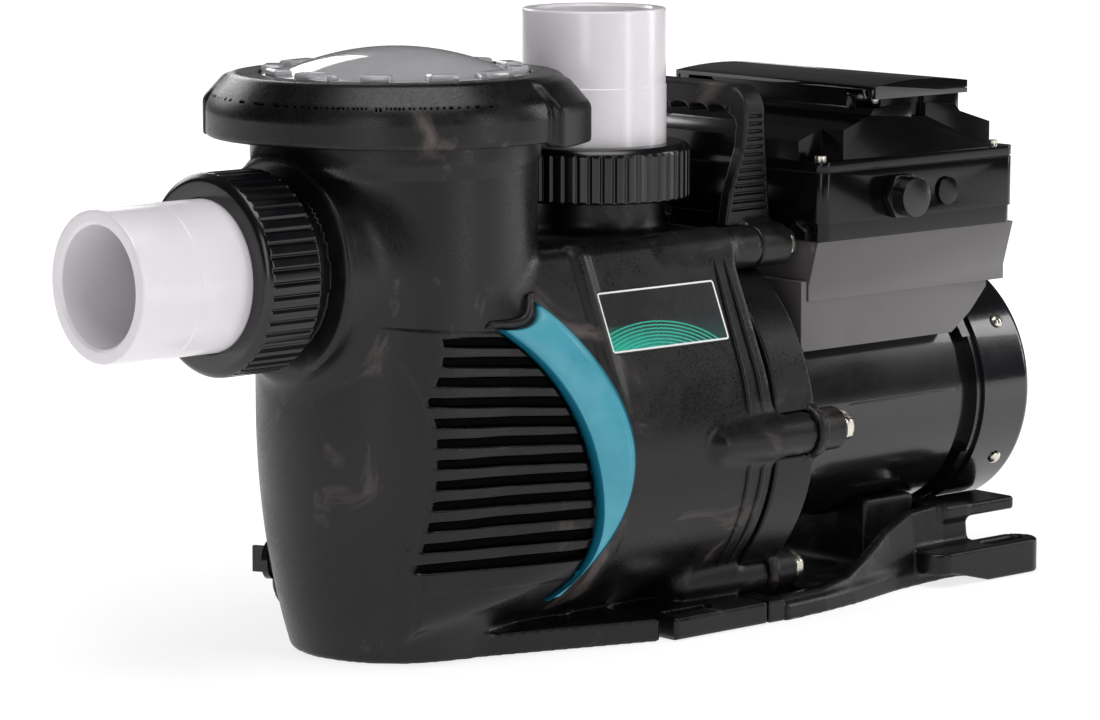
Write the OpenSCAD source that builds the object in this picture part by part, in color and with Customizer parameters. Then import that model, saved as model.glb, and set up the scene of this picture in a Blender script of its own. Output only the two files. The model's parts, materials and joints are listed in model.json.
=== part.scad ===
// Self-priming pool pump with strainer pot, enclosed fan-cooled motor and variable speed drive.
// Origin: on the floor, on the centre plane, under the discharge port. +X runs from the strainer
// to the motor, +Z is up, and all sizes are in millimetres.

/* [Casing] */
// Outer radius of the seal plate rim, which is the largest round of the wet end
rim_r = 118; // [105:1:145]
// How far the rim is set in from the line of the foot
rim_gap = 1; // [1:1:8]
// X of the joint between the casing and the seal plate
split_x = 46; // [40:1:60]
// Wall of the moulded casing
casing_wall = 8; // [5:1:12]
// Radius of the round bosses and ears that the casing bolts pass through
boss_r = 13.5; // [11:0.5:17]
// Thickness of the moulded foot plates
foot_t = 14; // [10:1:20]
// Half width of the feet
foot_half = 111; // [95:1:125]

/* [Strainer pot] */
// Distance from the discharge axis back to the strainer axis
pot_back = 160; // [158:1:210]
// Outer radius of the pot
pot_r = 85; // [70:1:103]
// Wall of the pot
pot_wall = 7; // [5:0.5:10]
// Height of the suction axis
suction_z = 236; // [230:1:290]
// Height of the pot flange's underside above the suction axis
pot_rise = 77; // [74:1:110]
// Width of the lid ring outside the pot wall
ring_over = 28; // [24:1:32]
// Rise of the clear dome above the flat of the lid ring
dome_rise = 15; // [10:1:30]
// Width of the clear dome inside the pot's outer radius
dome_in = 19; // [15:1:28]

/* [Ports] */
// Outside diameter of the pipe tailpieces
pipe_od = 90; // [75:0.5:99]
// Bore of the pipe tailpieces
pipe_id = 75; // [60:0.5:78]
// Wall of a union nut outside its thread
nut_wall = 9; // [7:0.5:14]
// Length of the suction union nut
suction_nut_len = 40; // [32:1:50]
// Length of the discharge union nut
discharge_nut_len = 34; // [30:1:42]
// How far the suction tailpiece stands out of its nut
suction_out = 76.5; // [40:0.5:150]
// How far the discharge tailpiece stands out of its nut
discharge_out = 83; // [40:0.5:150]

/* [Wet end] */
// Radius of the impeller
impeller_r = 72; // [60:1:80]
// Width of the impeller passage
impeller_w = 20; // [14:1:24]
// Number of impeller vanes
vane_count = 7; // [5:1:9]
// Diameter of the casing bolts
bolt_d = 9.5; // [8:0.5:12]

/* [Motor] */
// Radius of the motor body
motor_r = 78; // [70:1:88]
// Length of the motor body
motor_len = 159; // [140:1:200]
// Wall of the motor body
motor_wall = 6; // [4:0.5:8]
// Diameter of the shaft through the bearings
shaft_d = 25; // [20:1:30]
// Air gap between rotor and stator
air_gap = 0.8; // [0.5:0.1:1.5]
// How much the fan cover stands out over the motor body
fan_cover_over = 5; // [3:0.5:9]
// Length of the fan cover
fan_cover_len = 45; // [35:1:60]

/* [Drive] */
// Length of the drive box along the shaft
drive_len = 178; // [160:1:220]
// Half width of the drive box
drive_half = 91.5; // [84:0.5:112]
// Height of the drive box between skirt and lid
drive_box_h = 43; // [36:1:60]
// Height of the lid rim
lid_rim_h = 6; // [4:1:9]
// Height of the lid above its rim
lid_rise = 33; // [28:1:45]
// Travel of a push button
button_travel = 1.2; // [0.8:0.1:1.4]

/* [Handle] */
// Height of the top of the carry handle above the shaft axis
handle_rise = 212; // [200:1:250]
// Width of the handle bar along the shaft
handle_w = 17.5; // [14:0.5:24]

/* [Fits] */
// Gap between pieces that move past each other
run_gap = 0.4; // [0.3:0.1:0.8]
// Radial gap of a bearing or a turning fit
fit_gap = 0.05; // [0.02:0.01:0.1]
// Gap between a bolt and its hole
hole_gap = 0.4; // [0.2:0.1:1]

/* [Hidden] */
$fn = 96;
over = 1;
join = 0.2;

// Shaft line and casing bolts: each row is [Y, Z] on the +Y side
shaft_z = rim_r - rim_gap;
volute_r = rim_r - 2;
bolt_rows = [
    [0.496 * (rim_r + 11), shaft_z + 0.868 * (rim_r + 11)],
    [rim_r - min(4, 19.5 - boss_r), shaft_z + 1],
    [0.602 * rim_r, shaft_z - 0.797 * rim_r]
];
bolt_hole_r = bolt_d / 2 + hole_gap;
shoulder_r = boss_r - 1;
boss_tip_x = split_x - 46;
boss_end_x = split_x + 26;
ear_end_x = boss_end_x + 26;
plate_end_x = split_x + 33;
washer_t = 1.6;
washer_r = bolt_d / 2 + 5;
nut_flat_r = bolt_d / 2 + 4;

// Strainer pot and lid
pot_x = -max(pot_back, pot_r + ring_over + pipe_od / 2 + 2);
pot_bore_r = pot_r - pot_wall;
ledge_r = pot_bore_r - 3;
discharge_nut_z = shaft_z + rim_r + 26;
discharge_nut_top = discharge_nut_z + discharge_nut_len;
flange_z = max(suction_z + pot_rise, discharge_nut_top + 4);
flange_t = 10;
pot_top_z = flange_z + flange_t;
pot_foot_z = 0;
ring_r = pot_r + ring_over;
ring_wall = 5;
ring_bore_r = ring_r - ring_wall;
flange_r = ring_bore_r - 1.6;
ring_z = flange_z - 3;
lid_seat_gap = 2.5;
lid_z = pot_top_z + lid_seat_gap;
lid_edge_t = 7.5;
lid_edge_r = flange_r - 6;
ring_lip_z = lid_z + lid_edge_t + run_gap;
ring_top_z = ring_lip_z + 13.5;
dome_r = pot_r - dome_in;
lid_neck_r = dome_r + 15;
dome_t = 5;
dome_sphere_r = (dome_r * dome_r + dome_rise * dome_rise) / (2 * dome_rise);
dome_base_z = ring_top_z - 2;
lug_top_z = ring_top_z + 3;
lid_oring_r = pot_bore_r + 6;
oring_t = 3.2;
seal_groove = 1.2;
basket_top_z = flange_z - 9;
basket_r = ledge_r - 3;
basket_wall = 2;
basket_floor_z = 44;
lobe_angle = -63;
lobe_out = 6;
lobe_drop = 3;
lobe_half = 26;

// Side faces between pot and casing, in plan
face_x0 = pot_x - 0.5 * pot_r;
face_x1 = -74;
face_y0 = 0.83 * pot_r;
face_y1 = volute_r - 4;
trim_t = 2.5;
badge_w = 98;
badge_h = 40;
badge_t = 1;

// Unions
pipe_r = pipe_od / 2;
collar_r = pipe_r + 5;
thread_r = collar_r + 0.5;
union_nut_r = thread_r + run_gap + nut_wall;
collar_t = 6;
lip_t = 6;
neck_r = pipe_r - 2;
union_oring_r = pipe_id / 2 + 6;
suction_nut_x = pot_x - pot_r - 59;
suction_nut_end = suction_nut_x + suction_nut_len;
suction_seat_x = suction_nut_x + lip_t + collar_t + 2 * run_gap;
suction_boss_x = pot_x - pot_r - 6;
suction_pipe_x = suction_nut_x - suction_out;
discharge_seat_z = discharge_nut_top - lip_t - collar_t - 2 * run_gap;
discharge_pipe_z = discharge_nut_top + discharge_out;
casing_top_z = bolt_rows[0][1] + boss_r;

// Wet end
chamber_r = rim_r - 24;
chamber_x0 = split_x - 91;
eye_r = 36;
impeller_x = split_x - 40;
impeller_back_x = impeller_x + 4 + impeller_w;
impeller_hub_r = 15;
shroud_t = 4;
diffuser_in = impeller_r + 3;
diffuser_out = chamber_r - 4;
diffuser_x0 = impeller_x - 8;
casing_oring_r = chamber_r + 3;

// Shaft and seal
shaft_r = shaft_d / 2;
stub_r = 8;
seal_r = shaft_r + 9.5;
seal_x = split_x + 1;

// Motor
motor_x0 = plate_end_x;
flange_len = 14;
housing_x0 = motor_x0 + flange_len;
motor_x1 = motor_x0 + flange_len + motor_len;
bell_len = 16;
bell_x1 = motor_x1 + bell_len;
bearing_r = 26;
bearing_w = 15;
front_bearing_x = motor_x0 + 12;
rear_bearing_x = motor_x1 - 4;
stator_r = motor_r - motor_wall;
motor_bolt_r = stator_r - 7.5;
rotor_r = 45;
stator_bore_r = rotor_r + air_gap;
stator_x0 = motor_x0 + 48;
stator_x1 = motor_x1 - 36;
winding_len = 16;
motor_bolt_d = 8;
fan_cover_r = motor_r + fan_cover_over;
fan_cover_x = motor_x1 + 18;
fan_cover_x1 = fan_cover_x + fan_cover_len;
fan_cover_t = 2;
fan_x = fan_cover_x + 7;
fan_w = 20;
fan_r = fan_cover_r - 15;
cover_screw_angle = 33;
cover_screw_x = fan_cover_x + 24;
lug_r = fan_cover_r - fan_cover_t;

// Drive
drive_x0 = ear_end_x + 11;
drive_x1 = drive_x0 + drive_len;
adapter_x1 = motor_x1 + 25;
saddle_z = shaft_z + motor_r - 35;
skirt_z = shaft_z + motor_r - 3.5;
tray_z = shaft_z + fan_cover_r + 5;
box_z = tray_z + 25.5;
gasket_t = 1;
lid_rim_z = box_z + drive_box_h + gasket_t;
lid_body_z = lid_rim_z + lid_rim_h;
shell_t = 3;
corner_r = 8;
gable_half = drive_half - 3.4;
pocket_half = drive_half - 23;
keypad_x0 = drive_x0 + 51;
keypad_w = 76;
keypad_x1 = keypad_x0 + keypad_w;
keypad_z = lid_body_z + lid_rise;
panel_t = 2;
panel_z = keypad_z - 4.6;
recess_in = 6;
panel_half = 60;
button_r = 5;
button_x = keypad_x0 + 22;
button_ys = [-36, -18, 0, 18];
cover_half = drive_half;
cover_x0 = keypad_x0 - 4;
cover_x1 = keypad_x1 + 4;
cover_z = keypad_z + 12;
cover_drop = 8;
cover_t = 2.5;
cover_crown = 3;
hinge_r = 2.5;
hinge_x = cover_x0 + 4;
hinge_z = keypad_z + 4.5;
knuckle_r = hinge_r + 1.2;
lid_screw_x = 10.5;
lid_screw_y = drive_half - 12;
plug_x = drive_x0 + 69;
blank_x = drive_x0 + 113;
conduit_z = box_z + 25;
plug_r = 12.5;
blank_r = 9;

// Drain plugs
drain_r = 8;
drain_angle = 120;
drain_seal = 1.2;
pot_drain_z = 46;
pot_drain_face = pot_r - 6;
casing_drain_x = -30;
casing_drain_z = shaft_z - 0.76 * volute_r;
casing_drain_face = 0.65 * volute_r + 5;

// Handle
handle_z = shaft_z + handle_rise;
handle_h = 19;
handle_x = boss_end_x + 0.5;
handle_half = bolt_rows[0][0] - 4;
leg_t = 8;

// Motor foot
foot_x0 = split_x + 15;
foot_x1 = motor_x1 + 38;
slot_r = 5.5;
slot_len = 26;
foot_slot_y = foot_half - 17;
front_slot_x = -8;
loop_r = 13;
loop_x = foot_x1 - loop_r;

// ---- Helpers ----

// Rod along the shaft line from x0 to x1
module x_rod(x0, x1, r) {
    translate([x0, 0, shaft_z]) rotate([0, 90, 0]) cylinder(h = x1 - x0, r = r);
}

// Tube along the shaft line
module x_tube(x0, x1, r_out, r_in) {
    difference() {
        x_rod(x0, x1, r_out);
        x_rod(x0 - over, x1 + over, r_in);
    }
}

// Rod along X through the point [y, z]
module x_pin(x0, x1, r, y, z) {
    translate([x0, y, z]) rotate([0, 90, 0]) cylinder(h = x1 - x0, r = r);
}

// A drawing in Y and Z, extruded along X
module x_extrude(x0, x1) {
    translate([x0, 0, 0]) rotate([90, 0, 90]) linear_extrude(height = x1 - x0) children();
}

// A drawing in X and Z, extruded along Y
module y_extrude(y0, y1) {
    translate([0, y1, 0]) rotate([90, 0, 0]) linear_extrude(height = y1 - y0) children();
}

module both_sides() {
    children();
    mirror([0, 1, 0]) children();
}

// Rod between two X stations at every casing bolt of the given rows
module at_bolts(x0, x1, r, rows = [0, 1, 2]) {
    for (i = rows, s = [-1, 1]) x_pin(x0, x1, r, s * bolt_rows[i][0], bolt_rows[i][1]);
}

// Box with rounded vertical corners, centred on Y
module round_box(x0, x1, half, z0, z1, r) {
    translate([(x0 + x1) / 2, 0, z0])
        linear_extrude(height = z1 - z0)
            hull() for (sx = [-1, 1], sy = [-1, 1])
                translate([sx * ((x1 - x0) / 2 - r), sy * (half - r)]) circle(r = r, $fn = 32);
}

// O-ring about a vertical axis at the origin
module oring(r, t) {
    rotate_extrude() translate([r, 0]) circle(r = t / 2, $fn = 24);
}

// ---- Tank: strainer pot and volute casing in one moulding ----

// Cross-section of the casing: the round volute and the two top bolt shoulders
module casing_outline(grow = 0) {
    hull() {
        translate([0, shaft_z]) circle(r = volute_r + grow);
        for (s = [-1, 1]) translate([s * bolt_rows[0][0], bolt_rows[0][1]])
            circle(r = shoulder_r + grow, $fn = 48);
    }
}

// Plan of the tapering side faces between the pot and the casing
module face_plan(grow = 0) {
    polygon([
        [face_x0, -face_y0 - grow], [face_x1, -face_y1 - grow],
        [face_x1, face_y1 + grow], [face_x0, face_y0 + grow]
    ]);
}

module bridge(grow = 0) {
    intersection() {
        translate([0, 0, foot_t / 2]) linear_extrude(height = casing_top_z) face_plan(grow);
        x_extrude(face_x0, face_x1) casing_outline(grow);
    }
}

// Outer radius of the pot at height z: it draws in towards its foot
function pot_outer(z) = pot_r - 20 * pow(max(0, (150 - z) / 150), 2.2);

module pot_shell() {
    heights = [for (i = [0 : 9]) pot_foot_z + (150 - pot_foot_z) * i / 9];
    translate([pot_x, 0, 0]) rotate_extrude() polygon(concat(
        [[0, pot_foot_z]],
        [for (z = heights) [pot_outer(z), z]],
        [[pot_r, flange_z - 20], [pot_r + 2, flange_z - 15], [pot_r + 2, flange_z],
         [flange_r, flange_z], [flange_r, pot_top_z], [0, pot_top_z]]
    ));
}

// Everything that is hollow in the pot: strainer well, ledge, lid seat and seal groove
module pot_hollow() {
    well_foot_r = pot_outer(30) - pot_wall;
    translate([pot_x, 0, 0]) {
        rotate_extrude() polygon([
            [0, 30], [well_foot_r, 30], [ledge_r, 110], [ledge_r, basket_top_z],
            [pot_bore_r, basket_top_z], [pot_bore_r, pot_top_z + over], [0, pot_top_z + over]
        ]);
        translate([0, 0, pot_top_z]) rotate_extrude()
            translate([lid_oring_r - 2.2, -seal_groove]) square([4.4, seal_groove + over]);
    }
}

// Shallow grooves that leave the louvre ribs of the side face standing
module louvre_grooves() {
    slope = atan2(face_y1 - face_y0, face_x1 - face_x0);
    both_sides() for (i = [0 : 11])
        translate([face_x0 + 14, -face_y0 - 14 * tan(slope), shaft_z - 59 + 12 * i])
            rotate([0, 0, -slope]) translate([0, -over, 0]) cube([92, over + 2, 6]);
}

module foot_plates() {
    linear_extrude(height = foot_t) {
        hull() {
            translate([pot_x, 0]) circle(r = pot_outer(pot_foot_z) - 6);
            translate([-42, -foot_half + 6]) square([1, 2 * foot_half - 12]);
        }
        translate([-33, -foot_half]) square([split_x + 33, 2 * foot_half]);
        translate([-60, -40]) square([60, 80]);
    }
}

module casing_hollow() {
    // Volute chamber, passage from the strainer well, and discharge
    x_rod(chamber_x0, split_x + over, chamber_r);
    x_rod(pot_x + 40, chamber_x0 + over, eye_r + 9.5);
    translate([0, 0, shaft_z]) cylinder(h = casing_top_z, r = pipe_id / 2 - 2);
}

// Places its children on a drain seat, with +X pointing out of the moulding
module at_pot_drain() {
    translate([pot_x, 0, pot_drain_z]) rotate([0, 0, drain_angle])
        translate([pot_drain_face, 0, 0]) children();
}

module at_casing_drain() {
    translate([casing_drain_x, casing_drain_face, casing_drain_z]) rotate([0, 0, 90]) children();
}

module drain_boss() {
    rotate([0, -90, 0]) cylinder(h = 20, r = drain_r + 6);
}

// Threaded hole with a spot face that clears the head
module drain_hole() {
    translate([over, 0, 0]) rotate([0, -90, 0]) cylinder(h = 40, r = drain_r + hole_gap);
    rotate([0, 90, 0]) cylinder(h = 25, r = drain_r + 5);
}

module tank_body() {
    color("#29262a") difference() {
        union() {
            pot_shell();
            bridge();
            x_extrude(face_x1 - join, split_x) casing_outline();
            foot_plates();
            at_bolts(boss_tip_x, boss_end_x, boss_r);
            at_pot_drain() drain_boss();
            at_casing_drain() drain_boss();
            // Suction neck: boss, plain neck and thread
            x_pin(suction_boss_x, pot_x, collar_r + 16, 0, suction_z);
            x_pin(suction_nut_end - 2, pot_x, neck_r, 0, suction_z);
            x_pin(suction_seat_x, suction_nut_end + 2, thread_r, 0, suction_z);
            // Discharge neck: plain neck and thread
            translate([0, 0, shaft_z]) cylinder(h = discharge_nut_z + 3 - shaft_z, r = neck_r);
            translate([0, 0, discharge_nut_z + 1])
                cylinder(h = discharge_seat_z - discharge_nut_z - 1, r = thread_r);
        }
        pot_hollow();
        casing_hollow();
        x_pin(suction_seat_x - over, pot_x, pipe_id / 2 - 2, 0, suction_z);
        translate([0, 0, discharge_nut_z]) cylinder(h = 60, r = pipe_id / 2 - 2);
        // Seats of the union seals
        x_pin(suction_seat_x - over, suction_seat_x + 1.6, union_oring_r + 2.2, 0, suction_z);
        translate([0, 0, discharge_seat_z - 1.6]) cylinder(h = 3, r = union_oring_r + 2.2);
        at_bolts(boss_tip_x + 14, boss_end_x + over, bolt_hole_r);
        louvre_grooves();
        at_pot_drain() drain_hole();
        at_casing_drain() drain_hole();
        for (s = [-1, 1]) translate([front_slot_x, s * foot_slot_y, -over])
            foot_slot(foot_t + 2 * over);
    }
}

// Vertical slot for a hold-down bolt, long way along X
module foot_slot(h) {
    for (s = [-1, 1]) translate([s * slot_len / 2, 0, 0]) cylinder(h = h, r = slot_r);
    translate([-slot_len / 2, -slot_r, 0]) cube([slot_len, 2 * slot_r, h]);
}

// ---- Lid, ring, seals and basket ----

module lid_ring() {
    chamfer = ring_top_z - ring_z - 21;
    color("#2b282b") translate([pot_x, 0, 0]) difference() {
        union() {
            rotate_extrude() polygon([
                [lid_neck_r + run_gap, ring_lip_z], [lid_neck_r + run_gap, ring_top_z],
                [ring_r - 15, ring_top_z], [ring_r, ring_top_z - chamfer], [ring_r, ring_z],
                [ring_bore_r, ring_z], [ring_bore_r, ring_lip_z]
            ]);
            // Two grip lobes that hang a little below the ring
            for (a = [lobe_angle, lobe_angle + 180]) rotate([0, 0, a]) intersection() {
                rotate_extrude() polygon([
                    [ring_r - 20, ring_z - lobe_drop],
                    [ring_r + lobe_out, ring_z - lobe_drop],
                    [ring_r + lobe_out, ring_top_z - chamfer - 2],
                    [ring_r - 11, ring_top_z - 2], [ring_r - 20, ring_top_z - 2]
                ]);
                translate([ring_r - 24, -lobe_half, ring_z - lobe_drop - over])
                    cube([24 + 2 * lobe_out, 2 * lobe_half, 80]);
            }
        }
        translate([0, 0, ring_z - lobe_drop - over])
            cylinder(h = ring_lip_z - ring_z + lobe_drop + over, r = ring_bore_r);
    }
}

module clear_lid() {
    cap = asin(dome_r / dome_sphere_r);
    centre_z = dome_base_z + dome_rise + 2 - dome_sphere_r;
    angles = [for (i = [0 : 8]) cap * i / 8];
    color("#c9d2d8", 0.55) translate([pot_x, 0, 0]) {
        rotate_extrude() polygon(concat(
            [for (a = angles) dome_sphere_r * [sin(a), 0] + [0, centre_z + dome_sphere_r * cos(a)]],
            [[lid_neck_r, dome_base_z], [lid_neck_r, lid_z + lid_edge_t],
             [lid_edge_r, lid_z + lid_edge_t], [lid_edge_r, lid_z], [lid_oring_r - 6, lid_z],
             [lid_oring_r - 6, dome_base_z - dome_t]],
            [for (i = [8 : -1 : 0]) let (a = 0.93 * angles[i], r = dome_sphere_r - dome_t)
                r * [sin(a), 0] + [0, centre_z + r * cos(a)]]
        ));
        for (i = [0 : 9]) rotate([0, 0, 36 * i])
            translate([dome_r + 2, -5, dome_base_z - join])
                cube([12, 10, lug_top_z - dome_base_z]);
    }
}

module lid_oring() {
    color("#141414") translate([pot_x, 0, pot_top_z + (lid_seat_gap - seal_groove) / 2])
        oring(lid_oring_r, oring_t);
}

module strainer_basket() {
    slots = 20;
    rows = 6;
    slot_h = 20;
    color("#f0f0ee") translate([pot_x, 0, 0]) {
        difference() {
            union() {
                translate([0, 0, basket_floor_z]) cylinder(
                    h = basket_top_z - basket_floor_z, r1 = basket_r - 16, r2 = basket_r);
                translate([0, 0, basket_top_z + run_gap])
                    cylinder(h = 4, r = pot_bore_r - 2);
                translate([0, 0, basket_top_z - join]) cylinder(h = 1, r = basket_r);
            }
            translate([0, 0, basket_floor_z + basket_wall]) cylinder(
                h = basket_top_z - basket_floor_z - basket_wall,
                r1 = basket_r - 16 - basket_wall, r2 = basket_r - basket_wall);
            translate([0, 0, basket_top_z - over]) cylinder(h = 10, r = basket_r - basket_wall);
            for (i = [0 : slots - 1], j = [0 : rows - 1]) rotate([0, 0, (i + 0.5) * 360 / slots])
                translate([basket_r - 26, -3, basket_floor_z + 12 + j * (slot_h + 8)])
                    cube([40, 6, slot_h]);
            // Window on the suction side
            translate([0, 0, suction_z]) rotate([0, -90, 0]) cylinder(h = 100, r = pipe_id / 2 - 2);
        }
        // Lifting bar across the mouth
        translate([-basket_r + 1, -3, basket_top_z - 8]) cube([2 * basket_r - 2, 6, 10]);
    }
}

// Crescent in X and Z between two arcs, cut to a slanted top end
module crescent() {
    intersection() {
        translate([face_x1, shaft_z]) difference() {
            translate([-119, 0]) circle(r = 119);
            translate([-156, -32]) circle(r = 137.5);
        }
        translate([face_x1, shaft_z])
            polygon([[-76, -97], [14, -97], [14, 97], [-44, 115], [-78, 83]]);
    }
}

module accent_trims() {
    color("#57b7cb") both_sides() intersection() {
        y_extrude(-rim_r - 10, -20) crescent();
        difference() {
            bridge(trim_t);
            bridge(fit_gap);
        }
        difference() {
            translate([pot_x, -rim_r - 10, 0])
                cube([face_x1 - join - fit_gap - pot_x, rim_r, casing_top_z]);
            translate([pot_x, 0, -over]) cylinder(h = pot_top_z, r = pot_r + 2 + fit_gap);
        }
    }
}

// Plate on the flat of the casing, between its round side and its top shoulder
module rating_badge() {
    dy = bolt_rows[0][0];
    dz = bolt_rows[0][1] - shaft_z;
    lean = atan2(dz, dy) - acos((volute_r - shoulder_r) / norm([dy, dz]));
    color("#1d1d1f") translate([-27, 0, shaft_z]) rotate([-lean, 0, 0])
        translate([-badge_w / 2, -volute_r - badge_t, 16]) cube([badge_w, badge_t, badge_h]);
}

// ---- Unions ----

// Pipe stub with its collar and a slightly larger hub; the collar face is at the origin,
// and the pipe runs towards -Z
module tailpiece(length) {
    difference() {
        union() {
            cylinder(h = length, r = pipe_r - 0.5);
            cylinder(h = lip_t + collar_t + 36, r = pipe_r);
            cylinder(h = collar_t, r = collar_r);
        }
        translate([0, 0, -over]) cylinder(h = length + 2 * over, r = pipe_id / 2);
    }
}

module suction_tailpiece() {
    color("#e9e6ea") translate([suction_seat_x, 0, suction_z]) rotate([0, -90, 0])
        tailpiece(suction_seat_x - suction_pipe_x);
}

module discharge_tailpiece() {
    color("#e9e6ea") translate([0, 0, discharge_seat_z])
        tailpiece(discharge_pipe_z - discharge_seat_z);
}

// Fluted union nut with its lip at the far end and its open side at the origin
module union_nut(length) {
    flutes = 36;
    difference() {
        cylinder(h = length, r = union_nut_r);
        translate([0, 0, -over]) cylinder(h = length - lip_t + over, r = thread_r + run_gap);
        translate([0, 0, -over]) cylinder(h = length + 2 * over, r = pipe_r + run_gap);
        for (i = [0 : flutes - 1]) rotate([0, 0, i * 360 / flutes])
            translate([union_nut_r + 1.4, 0, -over]) cylinder(h = length - 3, r = 3, $fn = 16);
    }
}

module suction_nut() {
    color("#1b1c21") translate([suction_nut_end, 0, suction_z]) rotate([0, -90, 0])
        union_nut(suction_nut_len);
}

module discharge_nut() {
    color("#1b1c21") translate([0, 0, discharge_nut_z]) union_nut(discharge_nut_len);
}

module union_orings() {
    color("#141414") {
        translate([suction_seat_x + 0.8, 0, suction_z]) rotate([0, 90, 0])
            oring(union_oring_r, 1.5);
        translate([0, 0, discharge_seat_z - 0.8]) oring(union_oring_r, 1.5);
    }
}

// ---- Drain plugs ----

// Plug with a winged head; its seat is the plane at the origin and the head points along +X
module drain_plug() {
    color("#1f1f22") {
        rotate([0, 90, 0]) {
            translate([0, 0, -12]) cylinder(h = 12, r = drain_r);
            translate([0, 0, -over]) cylinder(h = 3, r = drain_r - 1.5);
            translate([0, 0, drain_seal]) cylinder(h = 4, r = drain_r + 4);
        }
        translate([drain_seal + 2, -1.6, -drain_r]) cube([12, 3.2, 2 * drain_r]);
    }
}

module pot_drain_plug() {
    at_pot_drain() drain_plug();
}

module casing_drain_plug() {
    at_casing_drain() drain_plug();
}

module drain_orings() {
    color("#141414") {
        at_pot_drain() translate([drain_seal / 2, 0, 0]) rotate([0, 90, 0]) oring(drain_r + 1, 1);
        at_casing_drain() translate([drain_seal / 2, 0, 0]) rotate([0, 90, 0])
            oring(drain_r + 1, 1);
    }
}

// ---- Wet end ----

// Foot block under the seal plate and under the motor, in plan from x0 to x1
module foot_block(x0, x1) {
    translate([x0, -foot_half, 0]) cube([x1 - x0, 2 * foot_half, foot_t]);
}

module seal_plate() {
    color("#2d2a2e") difference() {
        union() {
            x_rod(split_x + run_gap, split_x + 12, rim_r);
            x_tube(split_x + 12 - join, plate_end_x, rim_r, rim_r - 12);
            x_tube(split_x + 12 - join, plate_end_x - run_gap, motor_bolt_r + 13, motor_bolt_r - 12);
            x_rod(split_x + 12 - join, plate_end_x - 8, seal_r + 8);
            at_bolts(boss_end_x + run_gap, ear_end_x, boss_r, [1, 2]);
            at_bolts(boss_end_x + run_gap, plate_end_x, boss_r + 3, [1, 2]);
            foot_block(split_x + run_gap, foot_x0 - run_gap);
            for (a = [0 : 45 : 315]) translate([0, 0, shaft_z]) rotate([a, 0, 0])
                translate([split_x + 11, -2.5, motor_bolt_r + 10])
                    cube([20, 5, rim_r - motor_bolt_r - 18]);
        }
        x_rod(split_x - over, plate_end_x, shaft_r + 2);
        x_rod(split_x - over, split_x + 10, seal_r + 0.1);
        // Seal groove round the chamber, bolt holes and clearance for the casing's bosses
        x_tube(split_x - over, split_x + 2.4, casing_oring_r + 2, casing_oring_r - 2);
        at_bolts(split_x - over, boss_end_x + run_gap, boss_r + run_gap);
        at_bolts(boss_end_x - over, ear_end_x + over, bolt_hole_r);
        at_bolts(boss_end_x, plate_end_x + over, boss_r + run_gap, [0]);
        at_motor_bolts(split_x + 8, plate_end_x + over, motor_bolt_d / 2);
        at_diffuser_screws(split_x - over, split_x + 9, 2.6);
        x_extrude(split_x - over, plate_end_x + over)
            translate([-200, -20]) square([400, 20]);
    }
}

module at_motor_bolts(x0, x1, r) {
    for (a = [45 : 90 : 315])
        x_pin(x0, x1, r, motor_bolt_r * cos(a), shaft_z + motor_bolt_r * sin(a));
}

module at_diffuser_screws(x0, x1, r) {
    c = (diffuser_in + diffuser_out) / 2;
    for (a = [0 : 90 : 270]) x_pin(x0, x1, r, c * cos(a), shaft_z + c * sin(a));
}

module casing_oring() {
    color("#141414") translate([split_x + 1.2, 0, shaft_z]) rotate([0, 90, 0])
        oring(casing_oring_r, 2);
}

module casing_bolts() {
    color("#b9b6b0") {
        at_bolts(boss_tip_x + 16, ear_end_x + washer_t + 6.5, bolt_d / 2);
    }
}

module casing_washers() {
    color("#c8c4bc") difference() {
        at_bolts(ear_end_x, ear_end_x + washer_t, washer_r);
        at_bolts(ear_end_x - over, ear_end_x + washer_t + over, bolt_d / 2 + fit_gap);
    }
}

module casing_nuts() {
    color("#d3cfc8") for (i = [0, 1, 2], s = [-1, 1])
        translate([ear_end_x + washer_t, s * bolt_rows[i][0], bolt_rows[i][1]]) rotate([0, 90, 0])
            difference() {
                union() {
                    cylinder(h = i == 0 ? 5.5 : 8, r = nut_flat_r / cos(30), $fn = 6);
                    intersection() {
                        translate([0, 0, i == 0 ? 1.2 : 5]) sphere(r = nut_flat_r - 0.5);
                        cylinder(h = i == 0 ? 9.2 : 2 * nut_flat_r, r = nut_flat_r);
                    }
                }
                translate([0, 0, -over]) cylinder(h = 8, r = bolt_d / 2 + fit_gap);
            }
}

module diffuser() {
    vanes = 9;
    color("#3a3a3e") difference() {
        union() {
            x_tube(diffuser_x0, split_x, diffuser_out, diffuser_in);
            x_rod(diffuser_x0, diffuser_x0 + shroud_t, diffuser_out);
            x_rod(chamber_x0 - 9, diffuser_x0 + join, eye_r + 7);
        }
        x_rod(chamber_x0 - 12, diffuser_x0 + 6, eye_r + 3);
        x_rod(diffuser_x0 + shroud_t, split_x + over, diffuser_in);
        // Water leaves between the diffuser vanes
        for (i = [0 : vanes - 1]) translate([0, 0, shaft_z]) rotate([i * 360 / vanes + 22, 0, 0])
            translate([impeller_x + 4, -6, diffuser_in - 4]) rotate([-25, 0, 0])
                cube([impeller_w, 12, 40]);
        at_diffuser_screws(split_x - 16, split_x + over, 2.6);
        x_tube(chamber_x0 - 6.5, chamber_x0 - 3.5, eye_r + 8, eye_r + 5.4);
    }
}

module diffuser_oring() {
    color("#141414") translate([chamber_x0 - 5, 0, shaft_z]) rotate([0, 90, 0])
        oring(eye_r + 7.4, 2);
}

module diffuser_screws() {
    color("#b9b6b0") {
        at_diffuser_screws(split_x - 15, split_x + 8.6, 2.4);
    }
}

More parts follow.
